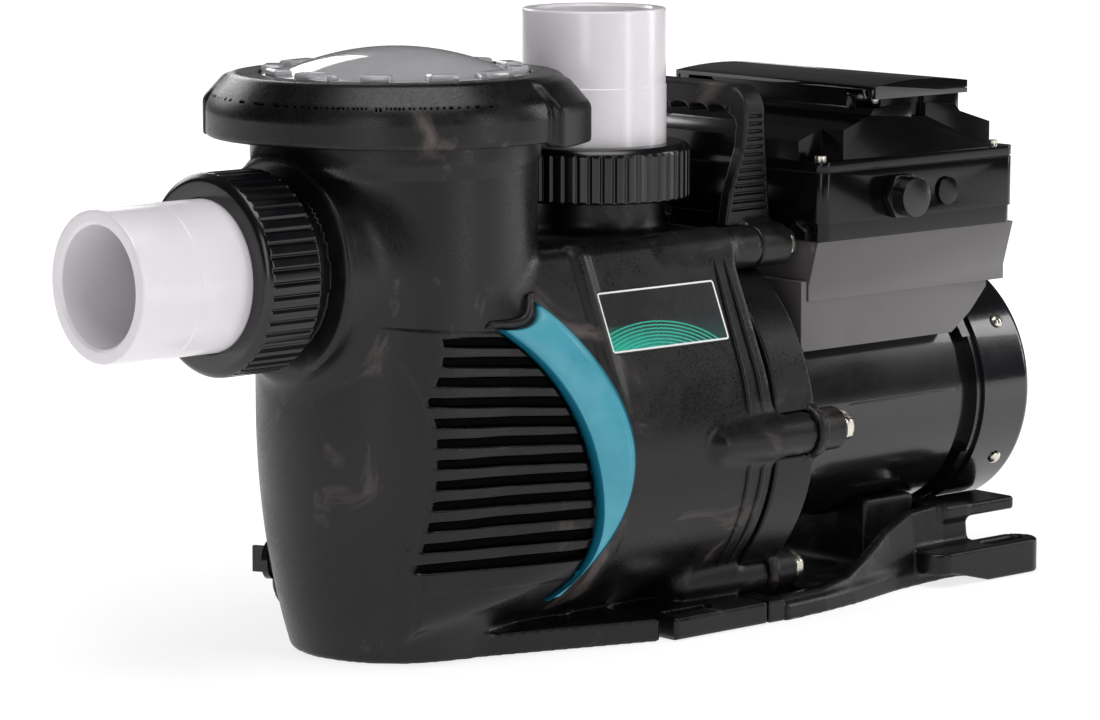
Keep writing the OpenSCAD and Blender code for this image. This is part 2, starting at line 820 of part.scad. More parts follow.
// One backward-curved vane drawn in the plane across the shaft
module vane_outline() {
    bend = impeller_r * 0.62;
    intersection() {
        difference() {
            translate([bend, 0]) circle(r = bend);
            translate([bend + 1.2, 1.6]) circle(r = bend - 1);
        }
        difference() {
            circle(r = impeller_r - 0.5);
            circle(r = impeller_hub_r - 1);
            translate([-impeller_r, -2 * impeller_r]) square(2 * impeller_r);
        }
    }
}

module impeller() {
    color("#d9d6cf") difference() {
        union() {
            x_rod(impeller_back_x, impeller_back_x + shroud_t, impeller_r);
            x_rod(impeller_x + 3, split_x - 6, impeller_hub_r);
            x_tube(impeller_x, impeller_x + shroud_t, impeller_r, eye_r - 2);
            x_tube(diffuser_x0 - 12, impeller_x + join, eye_r + 1, eye_r - 2);
            x_extrude(impeller_x + shroud_t - join, impeller_back_x + join)
                for (i = [0 : vane_count - 1]) translate([0, shaft_z])
                    rotate(i * 360 / vane_count) vane_outline();
        }
        x_rod(impeller_x - over, split_x, stub_r);
    }
}

module impeller_screw() {
    color("#c8c4bc") {
        x_rod(impeller_x - 5, impeller_x + 3, 11);
        x_rod(impeller_x, impeller_x + 12, 5);
    }
}

module seal_seat() {
    color("#e6e0d4") x_tube(seal_x, seal_x + 8, seal_r, shaft_r + 1);
}

module seal_head() {
    color("#8f8c88") {
        x_tube(split_x - 5.8, split_x - 1, seal_r - 1, impeller_hub_r - 3);
        x_tube(split_x - 1.2, seal_x - fit_gap, seal_r - 3, impeller_hub_r - 3);
    }
}

// ---- Motor ----

module motor_flange() {
    color("#1a1a1c") difference() {
        union() {
            x_rod(motor_x0, housing_x0, motor_r + 2);
            x_rod(motor_x0, front_bearing_x + bearing_w + 1, bearing_r + 6);
        }
        x_rod(front_bearing_x, housing_x0 + 40, bearing_r);
        x_rod(motor_x0 - over, housing_x0 + 40, shaft_r + 2);
        at_motor_bolts(motor_x0 - over, housing_x0 + over, motor_bolt_d / 2 + hole_gap);
    }
}

module motor_housing() {
    color("#19191c") {
        x_tube(housing_x0, motor_x1, motor_r, stator_r);
        // Cast pads along both sides
        for (s = [-1, 1]) translate([housing_x0 + 40, s * (motor_r - 1.5) - 1.5, shaft_z + 2])
            cube([motor_len - 46, 3, 5]);
    }
}

module rear_bell() {
    color("#141416") difference() {
        union() {
            x_rod(motor_x1, bell_x1, motor_r - 4);
            x_rod(bell_x1 - 3, bell_x1, lug_r - run_gap);
            x_rod(rear_bearing_x - 1, motor_x1 + join, bearing_r + 6);
            at_cover_lugs() translate([0, -7, 0]) cube([cover_screw_x - bell_x1 + 18, 14, 8]);
        }
        x_rod(rear_bearing_x, rear_bearing_x + bearing_w, bearing_r);
        x_rod(rear_bearing_x - 2, bell_x1 + over, shaft_r + 1);
        at_cover_lugs() translate([cover_screw_x - bell_x1 + 8, 0, -over])
            cylinder(h = 20, r = 2.2);
        at_motor_bolts(motor_x1 - over, motor_x1 + 8, motor_bolt_d / 2);
    }
}

// Places its children at each fan cover lug: the origin is under the cover's wall, +Z points out
module at_cover_lugs() {
    for (a = [cover_screw_angle, 180 - cover_screw_angle, 180 + cover_screw_angle,
              -cover_screw_angle])
        translate([bell_x1 - 8, 0, shaft_z]) rotate([a - 90, 0, 0])
            translate([0, 0, lug_r - 8 - run_gap]) children();
}

module stator_core() {
    color("#6d6f73") x_tube(stator_x0, stator_x1, stator_r - fit_gap, stator_bore_r);
}

module windings() {
    color("#b4673a") {
        x_tube(stator_x0 - winding_len, stator_x0, stator_r - 6, stator_bore_r + 3);
        x_tube(stator_x1, stator_x1 + winding_len, stator_r - 6, stator_bore_r + 3);
    }
}

module rotor_core() {
    color("#8c8e92") x_tube(stator_x0, stator_x1, rotor_r, shaft_r);
}

module motor_shaft() {
    color("#b8babd") difference() {
        union() {
            x_rod(front_bearing_x - 8, rear_bearing_x + bearing_w + 1, shaft_r);
            x_rod(split_x - 4, front_bearing_x - 8 + join, impeller_hub_r - 3);
            x_rod(impeller_x + 3.4, split_x, stub_r);
            x_rod(rear_bearing_x + bearing_w, fan_x + fan_w, stub_r);
        }
        x_rod(impeller_x - over, impeller_x + 14, 5);
    }
}

module bearing(x0) {
    mid = (shaft_r + bearing_r) / 2;
    balls = 9;
    x_tube(x0, x0 + bearing_w, shaft_r + 3.4, shaft_r + fit_gap);
    x_tube(x0, x0 + bearing_w, bearing_r, bearing_r - 3.4);
    for (i = [0 : balls - 1]) translate([x0 + bearing_w / 2, 0, shaft_z])
        rotate([i * 360 / balls, 0, 0]) translate([0, 0, mid]) sphere(r = 3.2, $fn = 24);
}

module front_bearing() {
    color("#c2c4c7") bearing(front_bearing_x);
}

module rear_bearing() {
    color("#c2c4c7") bearing(rear_bearing_x);
}

module fan() {
    blades = 8;
    color("#202022") difference() {
        union() {
            x_rod(fan_x, fan_x + fan_w, 16);
            x_rod(fan_x, fan_x + 3, fan_r - 12);
            for (i = [0 : blades - 1]) translate([0, 0, shaft_z])
                rotate([i * 360 / blades, 0, 0])
                    translate([fan_x, -1.5, 10]) cube([fan_w, 3, fan_r - 10]);
        }
        x_rod(fan_x - over, fan_x + fan_w + over, stub_r);
    }
}

module fan_cover() {
    rings = 4;
    color("#17181b") difference() {
        union() {
            x_tube(fan_cover_x, fan_cover_x1 - 6, fan_cover_r, lug_r);
            x_rod(fan_cover_x1 - fan_cover_t, fan_cover_x1, fan_cover_r - 6);
            rim_turn(fan_cover_r, fan_cover_t);
        }
        // Air slots in rings, with four spokes left between them
        for (i = [1 : rings]) difference() {
            x_tube(fan_cover_x1 - 10, fan_cover_x1 + over, 15 * i + 5, 15 * i - 5);
            for (a = [45, 135]) translate([fan_cover_x1, 0, shaft_z]) rotate([a, 0, 0])
                cube([30, 10, 3 * fan_cover_r], center = true);
        }
        at_cover_lugs() translate([cover_screw_x - bell_x1 + 8, 0, 0]) cylinder(h = 30, r = 2.6);
    }
}

// Rounded edge of the fan cover, from its side wall to its end wall
module rim_turn(r, t) {
    translate([fan_cover_x1 - 6, 0, shaft_z]) rotate([0, 90, 0]) difference() {
        rotate_extrude() translate([r - 6, 0]) difference() {
            circle(r = 6, $fn = 32);
            circle(r = 6 - t, $fn = 32);
            translate([-7, -7]) square([14, 7]);
            translate([-7, -1]) square([7, 8]);
        }
    }
}

module fan_cover_screws() {
    color("#c8c4bc") at_cover_lugs() translate([cover_screw_x - bell_x1 + 8, 0, 0]) {
        cylinder(h = 8 + run_gap + fan_cover_t + 0.2, r = 2);
        translate([0, 0, 8 + run_gap + fan_cover_t + 0.2]) intersection() {
            cylinder(h = 3, r = 4.5);
            translate([0, 0, -3]) sphere(r = 6, $fn = 48);
        }
    }
}

module motor_bolts() {
    color("#b9b6b0") {
        at_motor_bolts(split_x + 9, housing_x0 + 5, motor_bolt_d / 2 - 0.05);
        at_motor_bolts(housing_x0 + run_gap, housing_x0 + 6, motor_bolt_d / 2 + 2.8);
    }
}

// ---- Foot ----

// Height of the foot's side wall along X: low at the seal plate, then a swoop up to the cradle
function swoop(x) = let (t = min(1, max(0, (x - foot_x0 - 45) / (motor_x1 - foot_x0 - 95))))
    foot_t + 34 * (3 * t * t - 2 * t * t * t);

module foot_side() {
    steps = 12;
    tail_x = motor_x1 - 2;
    xs = [for (i = [0 : steps]) foot_x0 + (tail_x - foot_x0) * i / steps];
    y_extrude(foot_half - 28, foot_half - 20) polygon(concat(
        [for (x = xs) [x, swoop(x)]],
        [[tail_x, 0], [foot_x0, 0]]
    ));
}

module foot_loop() {
    difference() {
        union() {
            translate([loop_x, foot_slot_y, 0]) cylinder(h = 22, r = loop_r);
            translate([loop_x - slot_len - 30, foot_slot_y - loop_r, 0])
                cube([slot_len + 30, 2 * loop_r, 22]);
        }
        translate([loop_x - slot_len / 2, foot_slot_y, -over]) foot_slot(30);
    }
}

module motor_foot() {
    wing_z = shaft_z - fan_cover_r + 1;
    color("#29262a") difference() {
        union() {
            // Base plate: full width at the seal plate, then drawn in under the motor
            linear_extrude(height = foot_t - 4) polygon([
                [foot_x0, -foot_half], [foot_x0 + 70, -foot_half + 8],
                [motor_x1 - 20, -foot_half + 28], [motor_x1 + 10, -foot_half + 28],
                [motor_x1 + 10, foot_half - 28], [motor_x1 - 20, foot_half - 28],
                [foot_x0 + 70, foot_half - 8], [foot_x0, foot_half]
            ]);
            both_sides() {
                foot_side();
                foot_loop();
            }
            // Cradle under the motor and wings under the fan cover
            translate([motor_x1 - 70, -foot_half + 28, 0]) cube([50, 2 * foot_half - 56, 62]);
            both_sides() translate([motor_x1 - 20 - join, 34, wing_z + 3])
                cube([72, foot_half - 62, 8]);
        }
        x_rod(split_x, plate_end_x + run_gap, rim_r + run_gap);
        at_bolts(split_x, ear_end_x + run_gap, boss_r + 3 + run_gap, [2]);
        x_rod(housing_x0 - over, motor_x1 + over, motor_r + run_gap / 2);
        x_rod(motor_x1, foot_x1 + 60, fan_cover_r + 1.5);
        // Light pocket in the cradle's base
        translate([motor_x1 - 62, -foot_half + 40, -over]) cube([34, 2 * foot_half - 80, 26]);
    }
}

// ---- Handle ----

// Outline of a leg in X and Z: it leans towards the casing and widens at its foot
module leg_outline() {
    polygon([
        [boss_end_x + run_gap, bolt_rows[0][1] - 4], [ear_end_x - 2, bolt_rows[0][1] - 4],
        [ear_end_x - 3, bolt_rows[0][1] + 14], [handle_x + handle_w + 1, handle_z - 60],
        [handle_x + handle_w, handle_z - 20], [handle_x, handle_z - 20],
        [handle_x - 2, handle_z - 50], [handle_x - 16, bolt_rows[0][1] + 28],
        [boss_end_x - 16, casing_top_z + run_gap], [boss_end_x + run_gap, casing_top_z + run_gap]
    ]);
}

module carry_handle() {
    scallops = 5;
    turn_r = 18;
    color("#2b282b") difference() {
        union() {
            at_bolts(boss_end_x + run_gap, ear_end_x, boss_r, [0]);
            both_sides() y_extrude(handle_half - leg_t, handle_half) leg_outline();
            // Bar with rounded corners, drawn across the pump
            x_extrude(handle_x, handle_x + handle_w) difference() {
                hull() for (s = [-1, 1]) {
                    translate([s * (handle_half - turn_r), handle_z - turn_r])
                        circle(r = turn_r, $fn = 32);
                    translate([s * (handle_half - 1) - 1, handle_z - turn_r - 12]) square([2, 2]);
                }
                translate([-handle_half + leg_t, handle_z - 60])
                    square([2 * (handle_half - leg_t), 60 - handle_h]);
                for (i = [0 : scallops - 1])
                    translate([(i - (scallops - 1) / 2) * 17, handle_z - handle_h])
                        scale([1, 0.4]) circle(r = 8.5, $fn = 32);
            }
        }
        at_bolts(boss_end_x - over, ear_end_x + over, bolt_hole_r, [0]);
        // Grip slots in the outer faces of the legs
        for (s = [-1, 1], i = [0 : 13])
            translate([handle_x - 14 + 0.9 * i, s * handle_half - 1.5, casing_top_z + 12 + 5 * i])
                cube([20, 3, 1.8]);
    }
}

// ---- Drive ----

module drive_adapter() {
    color("#232326") difference() {
        y_extrude(-motor_r + 2, motor_r - 2) polygon([
            [drive_x0 - 2, tray_z - run_gap], [drive_x0 - 2, saddle_z],
            [motor_x1 - 7, saddle_z], [motor_x1 + 10, saddle_z + 12],
            [adapter_x1, skirt_z - 4], [adapter_x1, tray_z - run_gap]
        ]);
        x_rod(motor_x0, motor_x1 + over, motor_r + 0.1);
        x_rod(motor_x1, adapter_x1 + over, fan_cover_r + 1);
        translate([drive_x0 + 40, -20, shaft_z]) cube([60, 40, 200]);
    }
}

// Tapered tray of the drive: wide at the top, open above, with an apron round the adapter
module drive_skirt() {
    x0 = drive_x0 + 3;
    x1 = drive_x1 + 5;
    top_half = drive_half - 6;
    low_half = drive_half - 14;
    color("#2a2a2d") difference() {
        x_extrude(x0, x1) polygon([
            [-low_half, skirt_z], [low_half, skirt_z], [low_half, tray_z - 4],
            [top_half, box_z - run_gap], [-top_half, box_z - run_gap], [-low_half, tray_z - 4]
        ]);
        x_extrude(x0 + shell_t, x1 - shell_t) polygon([
            [-low_half + shell_t, tray_z + shell_t], [low_half - shell_t, tray_z + shell_t],
            [top_half - shell_t, box_z + over], [-top_half + shell_t, box_z + over]
        ]);
        translate([x0 - over, -motor_r + 1.6, shaft_z])
            cube([adapter_x1 + run_gap - x0 + over, 2 * motor_r - 3.2, tray_z - shaft_z]);
        x_rod(motor_x1, x1 + over, fan_cover_r + 1.5);
        translate([drive_x0 + 40, -20, shaft_z]) cube([60, 40, 200]);
    }
}

module drive_box() {
    color("#1b1b1e") difference() {
        union() {
            round_box(drive_x0 + 1, drive_x1 - 1, drive_half - 1, box_z, box_z + 11.5, corner_r);
            round_box(drive_x0, drive_x1, drive_half, box_z + 11.3, box_z + drive_box_h, corner_r);
        }
        round_box(drive_x0 + 4, drive_x1 - 4, drive_half - 4, box_z + shell_t,
            box_z + drive_box_h + over, corner_r - 3);
        translate([drive_x0 + 40, -20, box_z - over]) cube([60, 40, 10]);
        at_conduits(plug_x) cylinder(h = 30, r = plug_r - 2);
        at_conduits(blank_x) cylinder(h = 30, r = blank_r - 1.5);
        at_lid_screws() translate([0, 0, box_z + drive_box_h - 8]) cylinder(h = 20, r = 1.6);
    }
}

// Places its children in the near wall of the drive box, with +Z pointing out
module at_conduits(x) {
    translate([x, -drive_half, conduit_z]) rotate([90, 0, 0]) translate([0, 0, -15]) children();
}

module at_lid_screws() {
    for (x = [drive_x0 + lid_screw_x, drive_x1 - lid_screw_x], s = [-1, 1])
        translate([x, s * lid_screw_y, 0]) children();
}

module drive_gasket() {
    z = box_z + drive_box_h;
    color("#0f0f10") difference() {
        round_box(drive_x0 + 1, drive_x1 - 1, drive_half - 1, z, z + gasket_t, corner_r - 1);
        round_box(drive_x0 + 4, drive_x1 - 4, drive_half - 4, z - over, z + 2, corner_r - 3);
    }
}

// Gable of the lid in X and Z, from the low front wall up over the keypad pad
module lid_gable(x0, x1, drop = 0) {
    z = lid_body_z;
    polygon([
        [x0 + drop, z - 2 * drop], [x0 + drop, z + 12 - drop], [drive_x0 + 19, z + 18 - drop],
        [drive_x0 + 46, z + 27 - drop], [drive_x0 + 49, z + 31 - drop],
        [keypad_x0 + 32, keypad_z - drop], [keypad_x1 - 4, keypad_z - 3 - drop],
        [keypad_x1 + 1, z + 25 - drop], [drive_x1 - 23, z + 17 - drop],
        [x1 - drop, z + 11 - drop], [x1 - drop, z - 2 * drop]
    ]);
}

// Lid body above the rim: full width in the middle, cut back at the four screw pockets
module lid_body(t) {
    y_extrude(-pocket_half + t, pocket_half - t) lid_gable(drive_x0 + 2, drive_x1 - 2, t);
    intersection() {
        y_extrude(-gable_half + t, gable_half - t) lid_gable(drive_x0 + 2, drive_x1 - 2, t);
        translate([drive_x0 + 22 + t, -drive_half, 0])
            cube([drive_len - 44 - 2 * t, 2 * drive_half, keypad_z + over]);
    }
}

// Keypad well in plan, drawn in by t
module keypad_well(t, z0, z1) {
    translate([keypad_x0 + recess_in + t, -panel_half - run_gap + t, z0])
        cube([keypad_w - 2 * recess_in - 2 * t, 2 * panel_half + 2 * run_gap - 2 * t, z1 - z0]);
}

// Upright rim round the keypad, just under the closed cover and clear of its knuckles
module keypad_rim() {
    base = keypad_z - 12;
    rise = cover_z - cover_t - run_gap - base;
    rim_half = cover_half - 5;
    x0 = hinge_x + knuckle_r + 2;
    for (s = [-1, 1]) translate([x0, s * (rim_half - 2.5) - 2.5, base])
        cube([cover_x1 - 3 - x0, 5, rise]);
    translate([cover_x1 - 8, -rim_half + 1, base]) cube([5, 2 * rim_half - 2, rise]);
    translate([hinge_x, 30 - cover_half, base])
        cube([recess_in - 0.5, 2 * cover_half - 60, rise]);
}

module drive_lid() {
    color("#1d1d20") difference() {
        union() {
            difference() {
                union() {
                    round_box(drive_x0, drive_x1, drive_half, lid_rim_z, lid_body_z, corner_r);
                    lid_body(0);
                }
                lid_body(shell_t);
                round_box(drive_x0 + 5, drive_x1 - 5, pocket_half - 1, lid_rim_z - over,
                    lid_body_z - 1, corner_r - 4);
            }
            keypad_well(-2, keypad_z - 10, keypad_z - 1.5);
            keypad_rim();
            hinge_ears();
        }
        keypad_well(0, panel_z, keypad_z + 20);
        keypad_well(2, keypad_z - 8, keypad_z);
        // Finger notch in each gable
        for (s = [-1, 1]) translate([keypad_x0 + 32, s * gable_half - 5, keypad_z - 9])
            cube([13, 10, 20]);
        at_lid_screws() cylinder(h = 1000, r = 2.2);
        hinge_line(hinge_r + fit_gap, 30);
    }
}

module hinge_ears() {
    for (s = [-1, 1]) translate([hinge_x, s * (cover_half - 22) + 4, hinge_z])
        rotate([90, 0, 0]) {
            cylinder(h = 8, r = knuckle_r);
            translate([-knuckle_r, -8, 0]) cube([2 * knuckle_r, 8, 8]);
        }
}

// Both hinge pins' places: rods of the given length along Y, inside the cover's end walls
module hinge_line(r, length) {
    for (s = [-1, 1]) translate([hinge_x, s * (cover_half - 15) + length / 2, hinge_z])
        rotate([90, 0, 0]) cylinder(h = length, r = r);
}

module drive_lid_screws() {
    color("#c8c4bc") at_lid_screws() {
        translate([0, 0, box_z + drive_box_h - 6]) cylinder(h = 6 + gasket_t + lid_rim_h, r = 1.5);
        translate([0, 0, lid_body_z]) cylinder(h = 3, r = 4);
    }
}

module control_board() {
    color("#2f6b45") translate([drive_x0 + 12, -drive_half + 14, box_z + 9])
        cube([drive_len - 24, 2 * drive_half - 28, 1.6]);
    // Capacitors and the rectifier's heat spreader
    color("#26262a") for (i = [0 : 2]) translate([drive_x0 + 40 + 36 * i, 40, box_z + 10.4])
        cylinder(h = 24, r = 14);
    color("#9a9c9f") translate([drive_x0 + 30, -62, box_z + 10.4]) cube([120, 30, 14]);
}

module keypad_panel() {
    color("#2a2b2e") difference() {
        translate([keypad_x0 + recess_in + 0.3, -panel_half, panel_z])
            cube([keypad_w - 2 * recess_in - 0.6, 2 * panel_half, panel_t]);
        for (y = button_ys) translate([button_x, y, panel_z - over])
            cylinder(h = panel_t + 2 * over, r = button_r + run_gap);
    }
}

module display_window() {
    color("#5f6f66") translate([keypad_x0 + 36, -36, panel_z + panel_t]) cube([26, 62, 1.2]);
}

// Push button with a flange that keeps it under the panel
module button(i) {
    flange_h = 0.6;
    stand = 1.8;
    translate([button_x, button_ys[i], panel_z - flange_h - 0.2]) {
        cylinder(h = flange_h + 0.2 + panel_t + stand, r = button_r);
        cylinder(h = flange_h, r = button_r + 1.2);
    }
}

module button_start() {
    color("#4f8f5a") button(0);
}

module button_up() {
    color("#c9c9c9") button(1);
}

module button_down() {
    color("#c9c9c9") button(2);
}

module button_menu() {
    color("#c9c9c9") button(3);
}

// Crown of the keypad cover: a shallow arch along X
function crown(x) = cover_z + cover_crown * (1 - pow((x - (cover_x0 + cover_x1) / 2)
    / ((cover_x1 - cover_x0) / 2), 2));

module cover_arch(drop) {
    xs = [for (i = [0 : 8]) cover_x0 + (cover_x1 - cover_x0) * i / 8];
    polygon(concat([for (x = xs) [x, crown(x)]],
        [[cover_x1, crown(cover_x1) - drop], [cover_x0, crown(cover_x0) - drop]]));
}

module keypad_cover() {
    color("#151517") difference() {
        union() {
            y_extrude(-cover_half, cover_half) cover_arch(cover_t);
            both_sides() y_extrude(cover_half - 3, cover_half) cover_arch(cover_drop);
            // Knuckles hang from the arch just outside the lid's hinge ears
            for (s = [-1, 1]) translate([hinge_x, s * (cover_half - 8) + 4, hinge_z])
                rotate([90, 0, 0]) {
                    cylinder(h = 8, r = knuckle_r);
                    translate([-knuckle_r, 0, 0]) cube([2 * knuckle_r, cover_z - hinge_z - 1, 8]);
                }
        }
        hinge_line(hinge_r + fit_gap, 22);
    }
}

module hinge_pins() {
    color("#b8babd") hinge_line(hinge_r, 22);
}

module conduit_plug() {
    color("#1c1c1e") at_conduits(plug_x) {
        translate([0, 0, 9]) cylinder(h = 7, r = plug_r - 2.4);
        translate([0, 0, 15.2]) cylinder(h = 5, r = plug_r + 3, $fn = 6);
        translate([0, 0, 20]) cylinder(h = 11, r = plug_r);
    }
}

module conduit_blank() {
    color("#26262a") at_conduits(blank_x) {
        translate([0, 0, 11.5]) cylinder(h = 4.5, r = blank_r - 1.9);
        translate([0, 0, 15.2]) cylinder(h = 1.6, r = blank_r);
    }
}

tank_body();
lid_ring();
clear_lid();
lid_oring();
strainer_basket();
accent_trims();
rating_badge();
suction_tailpiece();
discharge_tailpiece();
suction_nut();
discharge_nut();
union_orings();
pot_drain_plug();
casing_drain_plug();
drain_orings();
seal_plate();
carry_handle();
casing_oring();
casing_bolts();
casing_washers();
casing_nuts();
diffuser();
diffuser_oring();
diffuser_screws();
impeller();
impeller_screw();
seal_seat();
seal_head();
motor_flange();
motor_housing();
rear_bell();
stator_core();
windings();
rotor_core();
motor_shaft();
front_bearing();
rear_bearing();
fan();
fan_cover();
fan_cover_screws();
motor_bolts();
motor_foot();
drive_adapter();
drive_skirt();
drive_box();
drive_gasket();
drive_lid();
drive_lid_screws();
control_board();
keypad_panel();
display_window();
button_start();
button_up();
button_down();
button_menu();
keypad_cover();
hinge_pins();
conduit_plug();
conduit_blank();
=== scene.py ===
# %% [markdown]
# # A pool pump, built around its CAD frame
# The CAD model is loaded first and is never moved. Moulded parts get new skins with soft,
# blended edges, and every part gets a procedural finish. Sizes below are in millimetres,
# because that is how a maker thinks of them, and they become metres when a mesh is made.

# %% Load the frame
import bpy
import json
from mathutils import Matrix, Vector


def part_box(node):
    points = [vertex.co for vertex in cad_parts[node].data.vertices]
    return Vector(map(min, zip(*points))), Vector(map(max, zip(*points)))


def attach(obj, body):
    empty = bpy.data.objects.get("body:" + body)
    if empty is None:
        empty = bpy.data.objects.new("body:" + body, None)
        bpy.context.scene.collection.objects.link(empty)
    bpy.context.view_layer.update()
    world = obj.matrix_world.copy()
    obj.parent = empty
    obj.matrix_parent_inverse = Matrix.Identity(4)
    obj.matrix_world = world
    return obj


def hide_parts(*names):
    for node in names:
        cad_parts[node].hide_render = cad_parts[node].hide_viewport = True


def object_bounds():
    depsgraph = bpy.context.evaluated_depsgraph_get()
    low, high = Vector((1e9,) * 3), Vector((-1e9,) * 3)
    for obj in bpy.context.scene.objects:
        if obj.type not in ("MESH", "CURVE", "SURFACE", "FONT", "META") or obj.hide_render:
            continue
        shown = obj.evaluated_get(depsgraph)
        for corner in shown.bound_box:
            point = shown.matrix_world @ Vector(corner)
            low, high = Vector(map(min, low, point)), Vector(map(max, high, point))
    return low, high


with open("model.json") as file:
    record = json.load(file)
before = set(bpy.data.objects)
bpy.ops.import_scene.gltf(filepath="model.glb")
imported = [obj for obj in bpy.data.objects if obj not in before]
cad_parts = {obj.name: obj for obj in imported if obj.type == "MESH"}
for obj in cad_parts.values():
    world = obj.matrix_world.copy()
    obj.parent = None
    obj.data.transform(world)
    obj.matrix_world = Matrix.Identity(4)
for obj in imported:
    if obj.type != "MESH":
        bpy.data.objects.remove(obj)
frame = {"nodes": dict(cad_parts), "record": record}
print(len(frame["nodes"]), "CAD nodes")

# %% Tools and the CAD box
import json
import math

import bmesh
import bpy
import numpy as np
from mathutils import Vector

MM = 0.001
cad_low, cad_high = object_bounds()
print("CAD box in mm:", [round(v / MM, 1) for v in (*cad_low, *cad_high)])


def box_mm(node):
    """Lowest and highest corner of a CAD node, in millimetres."""
    low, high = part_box(node)
    return np.array(low) / MM, np.array(high) / MM


# %% [markdown]
# ## Driving dimensions
# The shaft line, the pot's axis, the split plane and the port heights are read off the CAD
# nodes. Everything that is drawn later hangs on these few numbers.

# %% Driving dimensions
motor_low, motor_high = box_mm("motor_housing")
plate_low, plate_high = box_mm("seal_plate")
tank_low, tank_high = box_mm("tank_body")
lid_low, lid_high = box_mm("clear_lid")
ring_low, ring_high = box_mm("lid_ring")
cover_high = box_mm("fan_cover")[1]
shaft_z = (motor_low[2] + motor_high[2]) / 2
motor_r = (motor_high[2] - motor_low[2]) / 2
motor_x0, motor_x1 = motor_low[0], motor_high[0]
rim_r = plate_high[2] - shaft_z
split_gap = 0.4
split_x = plate_low[0] - split_gap
pot_x = (lid_low[0] + lid_high[0]) / 2
pot_top = tank_high[2]
pot_r = 85.0
suction_z = (box_mm("suction_nut")[0][2] + box_mm("suction_nut")[1][2]) / 2
casing_r = rim_r - 2
boss_r = 13.5
bolt_circle = rim_r + 11
# Half the distance across and the height of the upper, middle and lower pair of bolts
bolt_rows = [
    (0.496 * bolt_circle, shaft_z + 0.868 * bolt_circle),
    (rim_r - 4, shaft_z + 1),
    (0.602 * rim_r, shaft_z - 0.797 * rim_r),
]
print("shaft", shaft_z, "rim", rim_r, "pot axis", pot_x, "suction", suction_z)

# %% [markdown]
# ## Camera
# A long lens far away keeps the pump's parallel lines nearly parallel. The camera sits to the
# left and front, a little above the pump, and looks at a point near the shaft.

# %% Camera
azimuth, elevation = math.radians(-41.66), math.radians(8.35)
back = Vector((
    math.sin(azimuth) * math.cos(elevation),
    -math.cos(azimuth) * math.cos(elevation),
    math.sin(elevation),
))
aim = Vector((-5.4, 35.0, 154.0)) * MM
lens_mm, sensor_mm, stand_off = 145.4, 36.0, 2.8032
camera = bpy.data.objects.new("camera", bpy.data.cameras.new("camera"))
camera.data.sensor_width = sensor_mm
camera.data.lens = lens_mm
camera.location = aim + back * stand_off
camera.rotation_mode = "QUATERNION"
camera.rotation_quaternion = (-back).to_track_quat("-Z", "Y")
camera.data.clip_start, camera.data.clip_end = 0.05, 40.0
bpy.context.collection.objects.link(camera)
bpy.context.scene.camera = camera
bpy.context.scene.view_settings.view_transform = "Standard"
print("camera at", [round(v, 3) for v in camera.location])

# %% [markdown]
# ## Helpers for materials
# One helper adds a node, one turns sRGB hex to linear light, and one builds the pattern that
# most moulded and painted parts share: slow patches of colour, a fine grain in the roughness,
# and a bump of the same grain. The size of each pattern is given in millimetres.

# %% Material helpers
def hex_linear(code):
    """sRGB hex to linear: each channel through the sRGB curve, with alpha 1."""
    c = np.array([int(code[i:i + 2], 16) for i in (1, 3, 5)]) / 255
    c = np.where(c <= 0.04045, c / 12.92, ((c + 0.055) / 1.055) ** 2.4)
    return (*[float(v) for v in c], 1.0)


def add(tree, kind, links=(), **settings):
    """Adds one node: settings are its properties or sockets, links are (output, input name)."""
    node = tree.nodes.new("ShaderNode" + kind)
    for key, value in settings.items():
        if hasattr(node, key):
            setattr(node, key, value)
        else:
            node.inputs[key.replace("_", " ")].default_value = value
    for output, name in links:
        tree.links.new(output, node.inputs[name])
    return node


def ramp(tree, factor, stops):
    """A colour ramp fed by a factor; stops are (position, hex or grey value)."""
    node = add(tree, "ValToRGB", [(factor, "Fac")])
    while len(node.color_ramp.elements) < len(stops):
        node.color_ramp.elements.new(0.5)
    for element, (at, value) in zip(node.color_ramp.elements, stops):
        element.position = at
        element.color = hex_linear(value) if isinstance(value, str) else (value,) * 3 + (1,)
    return node.outputs["Color"]


def finish(name, tones, patch, grain, rough, bump, stretch=(1, 1, 1), **sockets):
    """Patches of the tones (size patch mm), roughness between two values and a bump of height
    bump mm, both from a grain of size grain mm; stretch scales the grain along X, Y, Z."""
    material = bpy.data.materials.new(name)
    material.use_nodes = True
    tree = material.node_tree
    shader = tree.nodes["Principled BSDF"]
    where = add(tree, "TexCoord").outputs["Object"]
    slow = add(tree, "TexNoise", [(where, "Vector")], Scale=1 / (patch * MM), Detail=5.0,
               Roughness=0.62, Distortion=0.8)
    scaled = add(tree, "Mapping", [(where, "Vector")], Scale=stretch)
    fine = add(tree, "TexNoise", [(scaled.outputs[0], "Vector")], Scale=1 / (grain * MM),
               Detail=3.0, Roughness=0.55)
    steps = [0.3 + 0.45 * i / (len(tones) - 1) for i in range(len(tones))]
    colour = ramp(tree, slow.outputs["Fac"], list(zip(steps, tones)))
    tree.links.new(colour, shader.inputs["Base Color"])
    both = add(tree, "Math", [(slow.outputs["Fac"], 0), (fine.outputs["Fac"], 1)],
               operation="ADD")
    half = add(tree, "Math", [(both.outputs[0], 0)], operation="MULTIPLY")
    half.inputs[1].default_value = 0.5
    tree.links.new(ramp(tree, half.outputs[0], [(0.35, rough[0]), (0.65, rough[1])]),
                   shader.inputs["Roughness"])
    bumped = add(tree, "Bump", [(fine.outputs["Fac"], "Height")], Distance=bump * MM,
                 Strength=1.0)
    tree.links.new(bumped.outputs["Normal"], shader.inputs["Normal"])
    for key, value in sockets.items():
        shader.inputs[key.replace("_", " ")].default_value = value
    return material


